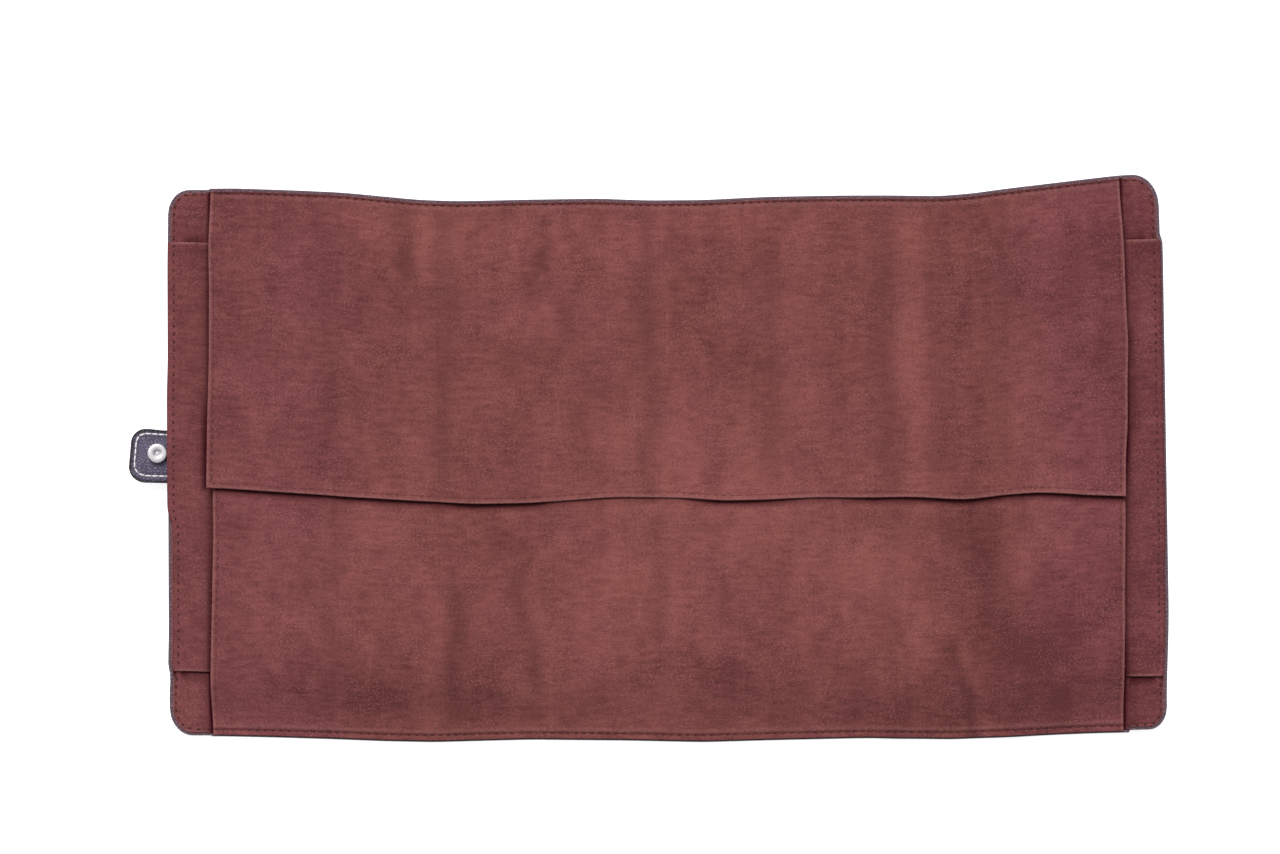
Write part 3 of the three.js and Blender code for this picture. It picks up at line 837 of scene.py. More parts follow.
def thread_material(name, shade, worn, least):
    """Twisted thread, a little fuzzy, and worn here and there to another colour."""
    shader = Shader(name)
    fibres = shader.grain(1.6)
    wear = shader.grain(0.13)
    base = shader.mix(shader.between(fibres, 0.3, 0.7), linear([c * least for c in shade]), linear(shade))
    base = shader.mix(shader.between(wear, 0.44, 0.68), base, linear(worn))
    return shader.finish(base, fibres, 0.1 * MM, 0.6, Roughness=0.8)


def nickel_material():
    """Nickel with a satin finish and faint handling marks."""
    colours = settings()[1]
    shader = Shader("polished_nickel")
    marks = shader.grain(0.6, 3.0)
    base = shader.mix(marks, linear([c * 0.96 for c in colours.nickel]), linear(colours.nickel))
    rough = shader.between(marks, 0.0, 3.0)
    return shader.finish(base, marks, 0.01 * MM, 0.3, Metallic=1.0, Roughness=shader.sum(0.44, rough, 0.3))


def named_material(name):
    """A material of the roll, made once."""
    found = bpy.data.materials.get(name)
    if found:
        return found
    colours = settings()[1]
    threads = {
        "edge_thread": (colours.edge_thread, colours.suede_dark, 0.72),
        "hem_thread": (colours.hem_thread, colours.suede_mid, 0.72),
        "strap_thread": (colours.strap_thread, colours.strap_thread, 0.95),
    }
    if name in threads:
        return thread_material(name, *threads[name])
    makers = {
        "brushed_suede": suede_material,
        "pebble_leather": leather_material,
        "polished_nickel": nickel_material,
    }
    return makers[name]()


# Layers


def bend_at_fold(piece, fold):
    """The piece crosses one fold; its place is baked into its mesh, and it is not bent there."""
    sizes, shape = settings()[0], ROLL["shape"]
    start = shape.place(shape.folds[fold] - sizes.fold_reach, 0.0, BEND_LEVEL, sways=False)
    end = shape.place(shape.folds[fold] + sizes.fold_reach, 0.0, BEND_LEVEL, sways=False)
    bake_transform(piece)


def stand_for(pieces, nodes):
    """The pieces stand for the CAD nodes in order; the last takes those that are left."""
    for index, piece in enumerate(pieces):
        own = nodes[index:index + 1] if index < len(pieces) - 1 else nodes[index:]
        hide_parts(*own)


def lining_top(sizes):
    """Height of the lining's upper face over the cover's outer face."""
    return sizes.leather + sizes.ply_gap + sizes.suede


def pressed_strip(sizes):
    """Lowest level of the pocket strip's face, where a flap lies hard on it."""
    return lining_top(sizes) + sizes.ply_gap + 0.6 * sizes.suede


def strip_top(along, across):
    """Upper face of the pocket strip: sewn down at the seams, slack between them, turned in at its edges."""
    sizes, shape = settings()[0], ROLL["shape"]
    from_seam = from_nearest(along, shape.folds)
    inside = (along > shape.folds[0]) & (along < shape.folds[-1])
    slack = np.where(inside, ramp(from_seam, 2.5, 11), 0)
    foot = lining_top(sizes) + sizes.ply_gap + sizes.suede
    edge = sizes.strip_depth / 2 - np.abs(across - strip_shift(along))
    turned = 0.45 * MM * (1 - ramp(edge, 3, 3))
    sag = 0.4 * MM * np.sin(along * 310) * np.sin(across * 47 + 1)
    top = foot + slack * (sizes.pocket_rise + sag) + turned
    on_deep = across > hem_place(along) + sizes.hem_tuck + 1.3 * sizes.grid
    over = np.where(on_deep, deep_top(along, across), shallow_top(along, across))
    under_flaps = np.minimum(top, np.maximum(over - sizes.flap - FLAP_CLEARANCE, pressed_strip(sizes)))
    return np.where(from_sides(along) > -4 * MM, under_flaps, top)


def strip_shift(along):
    """The strip sits a little high at the left end and a little low at the right."""
    run = 60 * MM
    left = 1 - smooth((along - 5 * MM) / run)
    right = smooth((along - ROLL["shape"].length + 5 * MM + run) / run)
    return STRIP_RISE * left - STRIP_FALL * right


def strip_nudge(along, across):
    """How far the strip's ends stand past the cover's or stay inside them: it was sewn in a little askew."""
    sizes, shape = settings()[0], ROLL["shape"]
    low = ramp(-across, 22, 12)
    high = ramp(across, 30, 25)
    left = sizes.strip_overhang - LEFT_TUCK[0] * low - LEFT_TUCK[1] * high
    right = -RIGHT_TUCK[0] - RIGHT_TUCK[1] * ramp(-across, 40, 20)
    at_right = smooth((along - shape.length + END_RUN) / END_RUN)
    return right * at_right - left * (1 - smooth(along / END_RUN))


def strip_shade(along, across):
    """Painted shadow lines on the lining, beside the pocket strip's two edges."""
    beyond = np.abs(across - strip_shift(along)) - settings()[0].strip_depth / 2
    lower = across < 0
    strength, width = (np.where(lower, *pair) for pair in zip(*STRIP_LINES))
    return strength * bell(beyond - 0.4 * MM, width)


def crease_fields(along, across):
    """How deep the flaps' creases are, how dark the painted shade in them is, and how light the painted
    highlight beside them is.
    """
    depth = np.zeros_like(along)
    shade = np.zeros_like(along)
    light = np.zeros_like(along)
    for start, end, width, deep, dark, lit in CREASES:
        start, end, width = np.array(start) * MM, np.array(end) * MM, width * MM
        run = end - start
        share = ((along - start[0]) * run[0] + (across - start[1]) * run[1]) / (run @ run)
        near = np.clip(share, 0, 1)
        wander = 2.2 * MM * np.sin(near * 7 + start[0] * 90) * np.sin(near * np.pi)
        aside = along - start[0] - near * run[0] - wander
        beyond = across - start[1] - near * run[1]
        away = np.hypot(aside, beyond)
        depth = depth + deep * MM * (bell(away, width) - 0.45 * bell(away - 2.2 * width, 1.2 * width))
        lean = 0.4 * width * np.sign(lit)
        shade = np.maximum(shade, dark * bell(np.hypot(aside + lean, beyond), 1.1 * width))
        bright = bell(np.hypot(aside - 3.5 * lean, beyond), 1.1 * width)
        light = light + abs(lit) * bright
    return depth, shade, light


def nap_and_shade_tone(along, across):
    """How light or dark the nap lies over the whole roll, with painted shade towards the right end."""
    tone = np.zeros(np.broadcast(along, across).shape)
    for (middle, level), (wide, deep), amount in NAP_AND_SHADE_PATCHES:
        away = np.hypot((along / MM - middle) / wide, (across / MM - level) / deep)
        tone = tone + amount * bell(away, 0.75)
    return tone


def plum_tone(along, across):
    """How purple the nap looks: more so towards both ends of the roll."""
    left = 0.55 * (1 - ramp(along, 70, 40))
    right = 0.85 * ramp(along - ROLL["shape"].length, -92, 60)
    return left + right + 0 * across


def ripples(along, across):
    """Slow unevenness of soft suede."""
    waves = np.sin(along * 62 + across * 21) + np.sin(along * 97 - across * 43 + 1.7)
    return 0.16 * MM * (waves + np.sin(across * 83 + along * 31 + 0.6))


def flap_nudge(along, across, kind):
    """How far places of a flap move along the roll, so that its sides lie where they should."""
    reach, folds = 20 * MM, ROLL["shape"].folds
    left, right = (follow(line, across) for line in FLAP_SIDES[kind])
    return left * (1 - smooth((along - folds[0]) / reach)) + right * (1 - smooth((folds[-1] - along) / reach))


def from_sides(along):
    """How far places lie inside the nearer side of the flaps."""
    folds = ROLL["shape"].folds
    return np.minimum(along - folds[0], folds[-1] - along)


def flap_crown(along, across, from_edge):
    """Underside of a flap before its free edge: up from its seam, over the pockets, sagging between them."""
    sizes, shape = settings()[0], ROLL["shape"]
    root = lining_top(sizes) + sizes.ply_gap
    rise = ramp(from_edge, 6, 24)
    from_seam = from_nearest(along, shape.folds[1:-1])
    sag = 0.7 * MM * bell(from_seam, 8 * MM)
    side = from_sides(along)
    perk = (2.0 * MM + 0.6 * MM * np.sin(across * 35 + along * 8)) * (1 - ramp(side, 0, 18))
    depth = crease_fields(along, across)[0]
    crown = sizes.flap_crown - sag + perk + ripples(along, across) - depth
    over_seams = root + 2 * sizes.suede
    return root + rise * (np.maximum(crown, over_seams) - root)


def margin_shade(along, across):
    """Painted shadow on the end margins: a narrow dark line along the flaps' sides, and a softer painted
    shade beside it.
    """
    shape = ROLL["shape"]
    on_deep = across > hem_place(along)
    left, right = (np.where(on_deep, follow(deep, across), follow(shallow, across))
                   for deep, shallow in zip(FLAP_SIDES["deep"], FLAP_SIDES["shallow"]))
    middle = shape.length / 2
    away = np.where(along < middle, shape.folds[0] + left - along, along - shape.folds[-1] - right)
    wide = np.where(along < middle, 6 * MM, 9 * MM)
    uneven = 0.28 + 0.12 * np.sin(across * 41 + 0.8) + 0.08 * np.sin(across * 97)
    shade = 0.72 * (1 - ramp(away, 0.5, 1.6)) + uneven * (1 - smooth(away / wide))
    return shade * ramp(away, -3, 2)


def hem_place(along):
    """Flat place of the deep flap's free edge."""
    line = follow(HEM_LINE, along)
    return line - ROLL["shape"].shift(along, line)


def deep_top(along, across):
    """Height of the deep flap's upper face."""
    sizes, shape = settings()[0], ROLL["shape"]
    to_hem = across - hem_place(along)
    from_seam = from_nearest(along, shape.folds[1:-1])
    lift = follow(HEM_RISE, along) * (1 - 0.35 * bell(from_seam, 9 * MM))
    under = flap_crown(along, across, shape.half - across)
    return under + sizes.flap + lift * (1 - ramp(to_hem, 0, 16)) + hem_relief(to_hem, along)


def shallow_top(along, across):
    """Height of the shallow flap's upper face."""
    sizes, shape = settings()[0], ROLL["shape"]
    to_hem = hem_place(along) + sizes.hem_tuck - across
    under = flap_crown(along, across, shape.half + across)
    dip = 1.4 * MM * (1 - ramp(to_hem, 0, 8))
    return under + sizes.flap - dip + hem_relief(to_hem, along)


def hem_relief(to_hem, along):
    """Turned hems at the free edge and at both sides, pressed in along their stitching."""
    sizes = settings()[0]
    edge = np.minimum(to_hem, from_sides(along))
    turned = 0.3 * MM * (1 - ramp(edge - sizes.hem_seam, 0, 2.5))
    return turned - hem_groove(edge)


def hem_groove(edge):
    """How far a hem's stitching presses the flap's face in, at distances from its edge."""
    return 0.4 * MM * bell(edge - settings()[0].hem_seam, 0.55 * MM)


def hem_shade(along, across):
    """Painted shadow on the shallow flap, along the line where the deep flap's hem covers it."""
    below = hem_place(along) - across
    lift = np.clip(follow(HEM_RISE, along) / (1.7 * MM), 0.45, 1)
    shade = 0.9 * lift * (1 - ramp(below, 1.0, 2.4))
    return shade * ramp(below, -2.4, 1.6)


# The roll's shape, worked out once in main and shared by the operators
ROLL = {}


class ROLL_OT_cover(Operator):
    """Grained leather cover, in one piece for each fold"""

    bl_idname = "roll.cover"
    bl_label = "Leather cover"

    def execute(self, context):
        sizes, shape = settings()[0], ROLL["shape"]
        steps = edge_steps(sizes.edge_seam)
        along = with_cuts(stations(0, shape.length, 2 * sizes.grid, *shape.end_steps(steps)), shape.cuts)
        depth = 2 * shape.half
        beside_strip = (steps + near for near in shape.strip_steps())
        share = stations(0, depth, 2 * sizes.grid, *beside_strip) / depth
        low, high = (edge[:, None] for edge in shape.edges(along))
        across = low + share[None] * (high - low)
        end = np.minimum(along, shape.length - along)[:, None]
        edge = np.minimum(np.minimum(across - low, high - across), end)
        fall = rounding(edge, 0.5 * MM)
        press = 0.15 * MM * bell(edge - sizes.edge_seam, 0.9 * MM)
        rim = 0.9 * (1 - ramp(edge - sizes.rim, 0, 0.9))
        names = [f"cover_leather_{left}_{right}" for left, right in FOLDS]
        pieces = cut_sheet(names, shape, along, across, sizes.leather - fall, fall + press, shape.cuts,
                           {"rim": rim}, named_material("pebble_leather"))
        for fold, piece in enumerate(pieces):
            bend_at_fold(piece, fold)
        stand_for(pieces, [f"cover_{panel}" for panel in PANELS])
        return {"FINISHED"}


class ROLL_OT_lining(Operator):
    """Suede lining inside the cover's rim"""

    bl_idname = "roll.lining"
    bl_label = "Suede lining"

    def execute(self, context):
        sizes, shape = settings()[0], ROLL["shape"]
        seam = sizes.edge_seam - sizes.rim
        steps = edge_steps(seam)
        fine = shape.end_steps(steps, sizes.rim)
        along = stations(sizes.rim, shape.length - sizes.rim, 2 * sizes.grid, *fine)
        cuts = shape.cuts.copy()
        cuts[0], cuts[-1] = along[0], along[-1]
        along = with_cuts(along, cuts)
        depth = 2 * (shape.half - sizes.rim)
        beside_strip = (steps + near for near in shape.strip_steps(sizes.rim))
        share = stations(0, depth, 2 * sizes.grid, *beside_strip) / depth
        low, high = (edge[:, None] for edge in shape.edges(along, sizes.rim))
        across = low + share[None] * (high - low)
        spread = np.broadcast_to(along[:, None], across.shape)
        end = np.minimum(along, shape.length - along)[:, None] - sizes.rim
        edge = np.minimum(np.minimum(across - low, high - across), end)
        fall = rounding(edge, 0.45 * MM)
        groove = 0.3 * MM * bell(edge - seam, 0.55 * MM)
        base = sizes.leather + sizes.ply_gap
        top = base + sizes.suede - np.minimum(fall + groove, 0.9 * sizes.suede)
        # A light lip at the edge: partly worn, partly a painted highlight
        lip = 0.7 * (1 - ramp(edge, 0, 1.0))
        names = [f"lining_suede_{left}_{right}" for left, right in FOLDS]
        # The last tint is painted shadow beside the flaps' sides and along the strip's edges
        tints = {"lip": lip, "tone": nap_and_shade_tone(spread, across), "plum": plum_tone(spread, across),
                 "gap": np.maximum(margin_shade(spread, across), strip_shade(spread, across))}
        pieces = cut_sheet(names, shape, along, across, top, np.full_like(top, base), cuts, tints,
                           named_material("brushed_suede"))
        for fold, piece in enumerate(pieces):
            bend_at_fold(piece, fold)
        stand_for(pieces, [f"lining_{panel}" for panel in PANELS])
        return {"FINISHED"}


class ROLL_OT_pockets(Operator):
    """Pocket strip, sewn down at every seam and slack between"""

    bl_idname = "roll.pockets"
    bl_label = "Pocket strip"

    def execute(self, context):
        sizes, shape = settings()[0], ROLL["shape"]
        steps = edge_steps(sizes.hem_seam)
        along = stations(0, shape.length, sizes.grid, steps, steps)
        along = with_cuts(along, shape.cuts)
        half = sizes.strip_depth / 2
        line = stations(-half, half, 1.2 * sizes.grid, steps, steps)
        across = line[None] + strip_shift(along)[:, None]
        spread = np.broadcast_to(along[:, None], across.shape)
        to_end = np.minimum(spread, shape.length - spread)
        fall = rounding(np.minimum(half - np.abs(line)[None], to_end), 0.4 * MM)
        face = strip_top(spread, across)
        # Light turned edges: partly worn, partly a painted highlight
        lip = (1 - ramp(half - np.abs(line)[None], 0.5, 1.2)) * ramp(to_end, 0, 2)
        # Painted shade at the strip's cut ends, and along the pocket seams
        end_shade = 0.4 * (1 - ramp(to_end, 0, 0.9))
        seam_shade = 0.5 * bell(from_nearest(spread, shape.folds), 3 * MM)
        tints = {"lip": lip, "crease": seam_shade, "tone": nap_and_shade_tone(spread, across),
                 "plum": plum_tone(spread, across), "gap": margin_shade(spread, across) + end_shade}
        names = [f"pocket_strip_{left}_{right}" for left, right in FOLDS]
        under = np.maximum(face - sizes.suede, lining_top(sizes) + sizes.ply_gap) + 0.5 * fall
        pieces = cut_sheet(names, shape, along, across, face - fall, under, shape.cuts, tints,
                           named_material("brushed_suede"), strip_nudge(spread, across))
        for fold, piece in enumerate(pieces):
            bend_at_fold(piece, fold)
        nodes = ["strip_end_left"] + [f"pocket_{pocket}" for pocket in POCKETS] + ["strip_end_right"]
        stand_for(pieces, nodes)
        return {"FINISHED"}


class ROLL_OT_flaps(Operator):
    """Deep and shallow suede flaps with turned, sewn hems"""

    bl_idname = "roll.flaps"
    bl_label = "Flaps"

    def execute(self, context):
        sizes = settings()[0]
        self.flap("deep", 1, deep_top, sizes.deep_root, sizes.deep_seam)
        self.flap("shallow", -1, shallow_top, sizes.shallow_root, sizes.shallow_seam)
        return {"FINISHED"}

    def flap(self, kind, side, top, root_inset, seam_inset):
        """One flap, cut at the pocket seams."""
        sizes, shape = settings()[0], ROLL["shape"]
        steps = edge_steps(sizes.hem_seam)
        cuts = shape.folds
        along = with_cuts(stations(cuts[0], cuts[-1], sizes.grid, steps, steps), cuts)
        root = side * (shape.half - root_inset)
        free = hem_place(along) + (0 if side > 0 else sizes.hem_tuck)
        depth = shape.half - root_inset + HEM_BELOW * side
        bend = list(np.arange(FLAP_BEND[0] - root_inset, FLAP_BEND[1], 0.8 * MM))
        share = stations(0, depth, sizes.grid, edge_steps(2 * MM) + bend, steps) / depth
        across = root + share[None] * (free - root)[:, None]
        spread = np.broadcast_to(along[:, None], across.shape)
        to_hem = np.abs(free[:, None] - across)
        to_side = from_sides(spread)
        from_root = np.abs(across - root)
        edge = np.minimum(to_hem, to_side)
        fall = rounding(edge, 0.6 * MM)
        root_fall = rounding(from_root, 0.4 * MM)
        inset = seam_inset - root_inset
        seam = bell(from_root - inset, 0.6 * MM)
        face = top(spread, across)
        # Painted shade in the creases, and a painted highlight beside them
        _, crease, light = crease_fields(spread, across)
        # Light lips at the hem and sides: partly worn, partly a painted highlight
        hem_lip = 1 - ramp(to_hem, 0.6, 1.3)
        side_lip = 1 - ramp(to_side, 0.5, 1.0)
        # A painted highlight on the ridge beside the root's seam
        root_highlight = 0.5 * bell(from_root - inset - 1.7 * MM, 0.9 * MM)
        # Painted shade in the groove of the root's seam, and the painted shadow under the deep flap's hem
        shade = 0.45 * seam + (0 if side > 0 else hem_shade(spread, across))
        nudge = flap_nudge(spread, across, kind)
        tints = {"lip": np.maximum(np.maximum(hem_lip, side_lip), root_highlight), "crease": crease,
                 "tone": nap_and_shade_tone(spread, across) + light, "plum": plum_tone(spread, across), "gap": shade}
        names = [f"{kind}_flap_suede_{pocket}" for pocket in POCKETS]
        upper = face - fall - root_fall - 0.5 * MM * seam
        lower = np.minimum(face - sizes.flap + fall + hem_groove(edge), upper - 0.05 * MM)
        over_strip = np.abs(across - strip_shift(spread)) < sizes.strip_depth / 2 + sizes.grid
        on_strip, on_lining = pressed_strip(sizes) + FLAP_CLEARANCE, lining_top(sizes) + sizes.ply_gap
        lower = np.maximum(lower, np.where(over_strip, on_strip, on_lining))
        if side > 0:
            # The grid runs the other way here, so that its faces look up
            along, across, upper, lower, nudge = (grid[::-1] for grid in (along, across, upper, lower, nudge))
            tints = {tint: values[::-1] for tint, values in tints.items()}
            names, cuts = names[::-1], cuts[::-1]
        suede = named_material("brushed_suede")
        pieces = cut_sheet(names, shape, along, across, upper, lower, cuts, tints, suede, nudge, CUT_SLIT)
        pieces = pieces if side < 0 else pieces[::-1]
        for piece, pocket in zip(pieces, POCKETS):
            hinge = joint_point(f"{kind}_flap_hinge_{pocket}")
            bodies = [f"panel_{pocket}", f"{kind}_flap_{pocket}"]
            ends = [Vector((hinge.x, side * (shape.half - inset), hinge.z)) for inset in FLAP_BEND]
            if side > 0:
                # A half turn can go either way round; the deep flap's bodies and bend ends are listed from
                # its free side, but nothing here uses them
                bodies, ends = bodies[::-1], ends[::-1]
            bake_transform(piece)
            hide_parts(f"{kind}_flap_{pocket}")
        self.hem_stitches(kind, side, top)

    def hem_stitches(self, kind, side, top):
        """Stitches along a flap's sides, and along the deep flap's hem."""
        sizes, shape = settings()[0], ROLL["shape"]
        ends = shape.folds[0] + sizes.hem_seam, shape.folds[-1] - sizes.hem_seam
        line = np.linspace(*ends, 400)
        tuck = 0 if side > 0 else sizes.hem_tuck
        hem = np.stack([line, hem_place(line) + tuck + side * sizes.hem_seam], axis=-1)
        paths = [hem] if side > 0 else []
        for end, corner in zip(ends, (hem[0], hem[-1])):
            root = side * (shape.half - SIDE_SEAM_START) - shape.shift(end, side * shape.half)
            paths.append(np.linspace([end, root], [end, corner[1]], 60))
        paths = [np.stack([path[:, 0] + flap_nudge(*path.T, kind), path[:, 1]], axis=-1) for path in paths]
        sewn = [stitch_places(path, sizes.stitch_pitch) for path in paths]
        starts, stops = (np.concatenate(part) for part in zip(*sewn))
        middle = (starts[:, 0] + stops[:, 0]) / 2
        for pocket, low, high in zip(POCKETS, shape.folds, shape.folds[1:]):
            own = (middle >= low) & (middle < high)
            if not own.any():
                continue
            name = f"{kind}_hem_stitches_{pocket}"
            stitches = sew_stitches(name, shape, starts[own], stops[own], top, 0.6 * sizes.stitch_width,
                                    named_material("hem_thread"))
            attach(stitches, f"{kind}_flap_{pocket}")


class ROLL_OT_stitching(Operator):
    """Stitching round the cover and along the pocket seams"""

    bl_idname = "roll.stitching"
    bl_label = "Edge stitching"

    def execute(self, context):
        sizes, shape = settings()[0], ROLL["shape"]
        turns = np.linspace(0, math.pi / 2, 8)
        path = []
        for quarter in range(4):
            right, top = quarter in (0, 3), quarter < 2
            wide, deep = (size * MM for size in CORNERS["upper" if top else "lower"][right][:2])
            inset = sizes.deep_seam if top else sizes.shallow_seam
            x = shape.length - wide if right else wide
            y = shape.half - deep if top else deep - shape.half
            path += [(x + (wide - sizes.edge_seam) * math.cos(turn), y + (deep - inset) * math.sin(turn))
                     for turn in turns + quarter * math.pi / 2]
        path.append(path[0])
        starts, stops = (self.with_strip(places) for places in stitch_places(path, sizes.stitch_pitch))
        seams = [np.array([[fold, -sizes.strip_depth / 2 + 2 * MM], [fold, sizes.strip_depth / 2 - 2 * MM]])
                 for fold in shape.folds]
        groups = (("edge_stitches", starts, stops, self.edge_top, 1),
                  ("outer_stitches", starts, stops, lambda along, across: 0.4 * MM + 0 * along, -1))
        for name, begin, finish, height, facing in groups:
            self.along_folds(name, begin, finish, height, facing)
        for fold, (left, right) in enumerate(FOLDS):
            begin, finish = stitch_places(seams[fold], sizes.stitch_pitch)
            self.one(f"seam_stitches_{left}_{right}", begin, finish, self.seam_top, 1, fold)
        return {"FINISHED"}

    def seam_top(self, along, across):
        """The pocket seams' thread lies pressed into the strip."""
        return strip_top(along, across) - 0.3 * MM

    def with_strip(self, places):
        """Stitches through the strip's ends stand where the strip was sewn in."""
        along, across = places.T
        on_strip = np.abs(across - strip_shift(along)) < settings()[0].strip_depth / 2
        return np.stack([along + np.where(on_strip, strip_nudge(along, across), 0), across], axis=-1)

    def edge_top(self, along, across):
        """The face that the edge stitching lies on: lining, strip or a flap's root."""
        sizes = settings()[0]
        lining = lining_top(sizes) - 0.1 * MM
        on_strip = np.abs(across - strip_shift(along)) < sizes.strip_depth / 2
        on_flap = from_sides(along) > 0
        root = lining_top(sizes) + sizes.ply_gap + sizes.flap - 0.25 * MM
        return np.where(on_flap, root, np.where(on_strip, strip_top(along, across), lining))

    def along_folds(self, name, begin, finish, height, facing):
        """A line of stitches, cut into one piece for each fold."""
        shape = ROLL["shape"]
        middle = (begin[:, 0] + finish[:, 0]) / 2
        for fold, (left, right) in enumerate(FOLDS):
            own = (middle >= shape.cuts[fold]) & (middle < shape.cuts[fold + 1])
            self.one(f"{name}_{left}_{right}", begin[own], finish[own], height, facing, fold)

    def one(self, name, begin, finish, height, facing, fold):
        """One piece of stitches, at a fold."""
        sizes, shape = settings()[0], ROLL["shape"]
        stitches = sew_stitches(name, shape, begin, finish, height, sizes.stitch_width,
                                named_material("edge_thread"), facing)
        bend_at_fold(stitches, fold)


class ROLL_OT_strap(Operator):
    """Closure strap of two sewn plies"""

    bl_idname = "roll.strap"
    bl_label = "Closure strap"

    def outline(self, along):
        """Lower and upper edge of the strap at places along it; the lower corner is rounder."""
        sizes = settings()[0]
        from_end = along + sizes.strap_reach
        edges = []
        for radius in STRAP_CORNERS:
            short = np.clip(radius - from_end, 0, radius)
            edges.append(sizes.strap_width / 2 - radius + np.sqrt(radius ** 2 - short ** 2))
        return -edges[0], edges[1]

    def lean(self, along, across):
        """The strap's end leans, its sides run a little downwards to the cover, and its upper side bulges."""
        sizes = settings()[0]
        out = smooth(-along / sizes.strap_reach)
        bulge = sizes.strap_bulge * bell(along + 0.55 * sizes.strap_reach, 0.3 * sizes.strap_reach)
        upper = smooth(2 * across / sizes.strap_width)
        return along + 0.09 * across * out, across - 0.03 * along + bulge * upper

    def execute(self, context):
        sizes, shape = settings()[0], ROLL["shape"]
        middle = joint_point("strap_bend").y
        steps = edge_steps(sizes.strap_seam)
        rounded = [8 * MM * (1 - math.cos(turn)) for turn in np.linspace(0, math.pi / 2, 14)]
        along = stations(-sizes.strap_reach, sizes.strap_root, STRAP_STEP, rounded + steps)
        low, high = (line[:, None] for line in self.outline(along))
        share = stations(0, sizes.strap_width, STRAP_STEP, steps, steps) / sizes.strap_width
        across = low + share[None] * (high - low)
        from_end = (along + sizes.strap_reach)[:, None]
        edge = np.minimum(np.minimum(across - low, high - across), from_end)
        fall = rounding(edge, 0.55 * MM)
        from_sewn = np.minimum(across - low - STRAP_SEAMS[0], high - across - STRAP_SEAMS[1])
        from_seam = np.minimum(from_sewn, from_end - sizes.strap_seam)
        groove = 0.3 * MM * bell(from_seam, 0.6 * MM)
        pillow = 0.25 * MM * ramp(from_seam, 0, 5)
        # A painted shadow beside the stitching's groove, in the edge paint's colour
        seam_groove_shadow = 0.4 * bell(from_seam - 1.0 * MM, 0.5 * MM)
        lip = np.maximum(1 - ramp(edge, 0.9, 1.2), seam_groove_shadow)
        tops = {"strap_back": -0.15 * MM, "strap_face": -0.2 * MM - sizes.strap_ply}
        pieces = []
        for name, top in tops.items():
            inner = name == "strap_back"
            top = top + np.zeros_like(across)
            bottom = top - sizes.strap_ply
            top = top - (fall + groove - pillow if inner else 0)
            bottom = bottom + (0 if inner else fall + groove - pillow)
            piece = self.sheet(f"{name}_leather", along, across, middle, top, bottom, lip)
            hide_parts(name, name.replace("strap", "strap_root"))
            pieces.append(piece)
        stitches = self.stitches(middle)
        start = shape.place(2.5 * MM, middle, -MM, sways=False)
        end = shape.place(-2.5 * MM, middle, -MM, sways=False)
        for piece in pieces + stitches:
            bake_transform(piece)
        return {"FINISHED"}

    def sheet(self, name, along, across, middle, top, bottom, lip):
        """One ply of the strap."""
        shape = ROLL["shape"]
        spread, aside = self.lean(along[:, None], across)
        upper = shape.place(spread, aside + middle, top, sways=False)
        lower = shape.place(spread, aside + middle, bottom, sways=False)
        flat = np.stack([np.broadcast_to(along[:, None], across.shape), across + 0.3], axis=-1)
        normals = grid_normals(upper), grid_normals(lower)
        return sheet_piece(name, upper, lower, normals, flat, {"lip": lip}, named_material("pebble_leather"))

    def stitches(self, middle):
        """White saddle stitches inside the strap's edge, on both faces."""
        sizes, shape = settings()[0], ROLL["shape"]
        half, root = sizes.strap_width / 2, 2 * MM
        turns = np.linspace(0, math.pi / 2, 9)
        path = [(root, STRAP_SEAMS[0] - half)]
        for radius, inset, side in zip(STRAP_CORNERS, STRAP_SEAMS, (-1, 1)):
            bend = [(radius - sizes.strap_reach - (radius - sizes.strap_seam) * math.sin(turn),
                     side * (half - radius + (radius - inset) * math.cos(turn))) for turn in turns]
            path += bend if side < 0 else bend[::-1]
        path.append((root, half - STRAP_SEAMS[1]))
        path = np.array(path)
        path = np.stack(self.lean(path[:, 0], path[:, 1]), axis=-1)
        path[:, 1] += middle
        starts, stops = stitch_places(path, sizes.strap_pitch, 1.0)
        made = []
        under = -0.25 * MM - 2 * sizes.strap_ply
        for name, level, facing in (("strap_stitches", -0.3 * MM, 1), ("strap_stitches_under", under, -1)):
            height = lambda along, across, level=level: level + 0 * along
            made.append(sew_stitches(name, shape, starts, stops, height, sizes.strap_thread,
                                     named_material("strap_thread"), facing, sways=False, sunk=0.3))
        return made


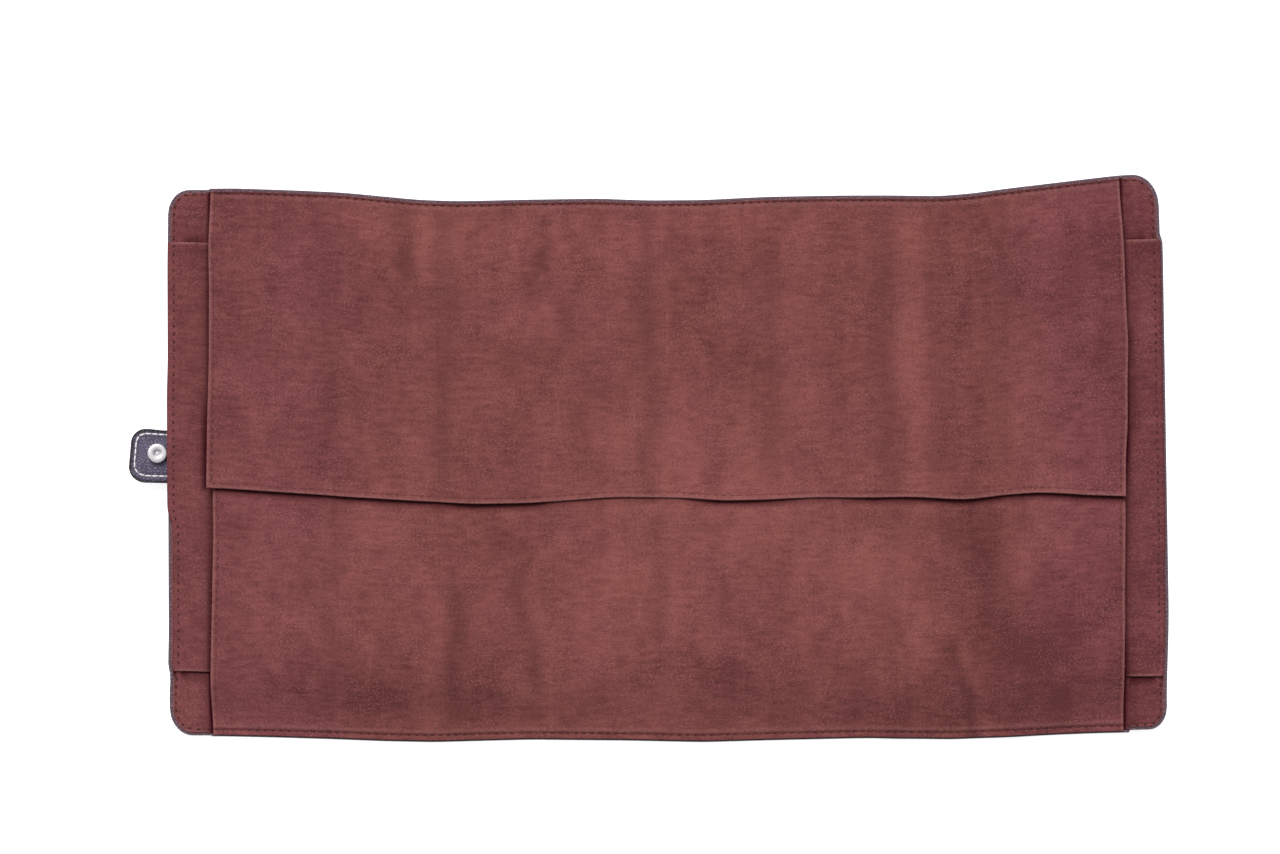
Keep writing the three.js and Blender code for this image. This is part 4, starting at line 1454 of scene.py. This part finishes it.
class ROLL_OT_snap(Operator):
    """Snap fastener: socket and cap on the strap, stud under the cover"""

    bl_idname = "roll.snap"
    bl_label = "Snap fastener"

    def execute(self, context):
        sizes, shape = settings()[0], ROLL["shape"]
        nickel = named_material("polished_nickel")
        middle = joint_point("strap_bend").y + SNAP_ASIDE
        base = Vector(shape.place(SNAP_ALONG, middle, 0.0, sways=False))
        axis = (Vector(shape.place(SNAP_ALONG, middle, MM, sways=False)) - base).normalized()
        turned = (("snap_socket_nickel", SOCKET_PROFILE, "snap_socket"),
                  ("snap_cap_nickel", CAP_PROFILE, "snap_cap"),
                  ("snap_post_nickel", POST_PROFILE, "snap_cap"))
        for name, profile, node in turned:
            piece = lathe(name, profile, base, axis, sizes.snap_sides, nickel)
            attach(piece, "strap")
            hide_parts(node)
        self.stud(sizes, nickel, base, axis)
        return {"FINISHED"}

    def stud(self, sizes, nickel, base, axis):
        """The stud stands where the socket lands when the roll is shut."""
        low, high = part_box("snap_stud")
        moved = base - sum(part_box("snap_socket"), Vector()) / 2
        tip = Vector(((low.x + high.x) / 2 + moved.dot(Vector((axis.z, 0, -axis.x))), base.y, low.z))
        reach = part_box("cover_3")[0].z / MM
        head = ((0.2, 2.0), (1.1, 2.0), (1.1, 0.2), (1.25, 0.02), (1.6, 0.04), (1.85, 0.25), (1.98, 0.5),
                (1.98, 0.75), (1.8, 1.05), (1.6, 1.3))
        flange = ((1.65, reach - 0.95), (2.2, reach - 0.8), (4.6, reach - 0.6), (5.0, reach - 0.3),
                  (4.9, reach), (0.3, reach))
        piece = lathe("snap_stud_nickel", head + flange, tip, Vector((0, 0, 1)), sizes.snap_sides, nickel)
        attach(piece, "panel_5")
        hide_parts("snap_stud", "snap_rivet")


class ROLL_OT_stage(Operator):
    """Pale floor, soft light and the camera straight above"""

    bl_idname = "roll.stage"
    bl_label = "Stage"

    def execute(self, context):
        sizes, colours = settings()
        scene = context.scene
        scene.view_settings.view_transform = "Standard"
        self.floor(linear(colours.floor))
        world = bpy.data.worlds.new("studio")
        world.use_nodes = True
        background = world.node_tree.nodes["Background"]
        background.inputs["Color"].default_value = (1, 1, 1, 1)
        background.inputs["Strength"].default_value = ROOM_LIGHT
        scene.world = world
        lamp = bpy.data.lights.new("window", "SUN")
        lamp.energy = WINDOW_LIGHT
        lamp.angle = WINDOW_SPREAD
        window = bpy.data.objects.new("window", lamp)
        window.rotation_euler = Vector(WINDOW_DIRECTION).to_track_quat("-Z", "Y").to_euler()
        scene.collection.objects.link(window)
        view = bpy.data.cameras.new("camera")
        view.sensor_width = FILM_WIDTH
        view.lens = FILM_WIDTH * (sizes.camera_height - SUBJECT_LEVEL) / sizes.picture_width
        camera = bpy.data.objects.new("camera", view)
        camera.location = (*CAMERA_PLACE, sizes.camera_height)
        scene.collection.objects.link(camera)
        scene.camera = camera
        return {"FINISHED"}

    def floor(self, shade):
        """A wide floor."""
        mesh = bpy.data.meshes.new("floor")
        corners = [(x * FLOOR_HALF, y * FLOOR_HALF, 0) for x, y in ((-1, -1), (1, -1), (1, 1), (-1, 1))]
        mesh.from_pydata(corners, [], [(0, 1, 2, 3)])
        shader = Shader("floor")
        shader.finish(shade, Roughness=0.9)
        shader.set(shader.surface, "Specular IOR Level", 0.0)
        # The floor shows brighter than it is lit, as in an overexposed studio picture
        rays = shader.add("ShaderNodeLightPath").outputs
        seen = shader.sum(rays["Is Camera Ray"], rays["Is Glossy Ray"], 1.0)
        seen = shader.sum(seen, rays["Is Transmission Ray"], 1.0)
        shader.set(shader.surface, "Emission Color", (1, 1, 1, 1))
        shader.set(shader.surface, "Emission Strength", shader.scale(seen, FLOOR_GLOW))
        link("floor", mesh, shader.material)


class ROLL_PT_sidebar(Panel):
    """Lists the steps that build the roll"""

    bl_idname = "ROLL_PT_sidebar"
    bl_label = "Watch Roll"
    bl_space_type = "VIEW_3D"
    bl_region_type = "UI"
    bl_category = "Watch Roll"

    def draw(self, context):
        for step in STEPS:
            self.layout.operator(step.bl_idname)


STEPS = (ROLL_OT_cover, ROLL_OT_lining, ROLL_OT_pockets, ROLL_OT_flaps, ROLL_OT_stitching, ROLL_OT_strap,
         ROLL_OT_snap, ROLL_OT_stage)
CLASSES = (RollSizes, RollColours) + STEPS + (ROLL_PT_sidebar,)


def register():
    for cls in CLASSES:
        bpy.utils.register_class(cls)
    bpy.types.Scene.roll_sizes = PointerProperty(type=RollSizes)
    bpy.types.Scene.roll_colours = PointerProperty(type=RollColours)


def unregister():
    del bpy.types.Scene.roll_colours
    del bpy.types.Scene.roll_sizes
    for cls in reversed(CLASSES):
        bpy.utils.unregister_class(cls)


def main():
    register()
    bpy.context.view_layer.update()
    ROLL["shape"] = RollShape(settings()[0])
    bpy.ops.roll.cover()
    bpy.ops.roll.lining()
    bpy.ops.roll.pockets()
    bpy.ops.roll.flaps()
    bpy.ops.roll.stitching()
    bpy.ops.roll.strap()
    bpy.ops.roll.snap()
    bpy.ops.roll.stage()


if __name__ == "__main__":
    main()
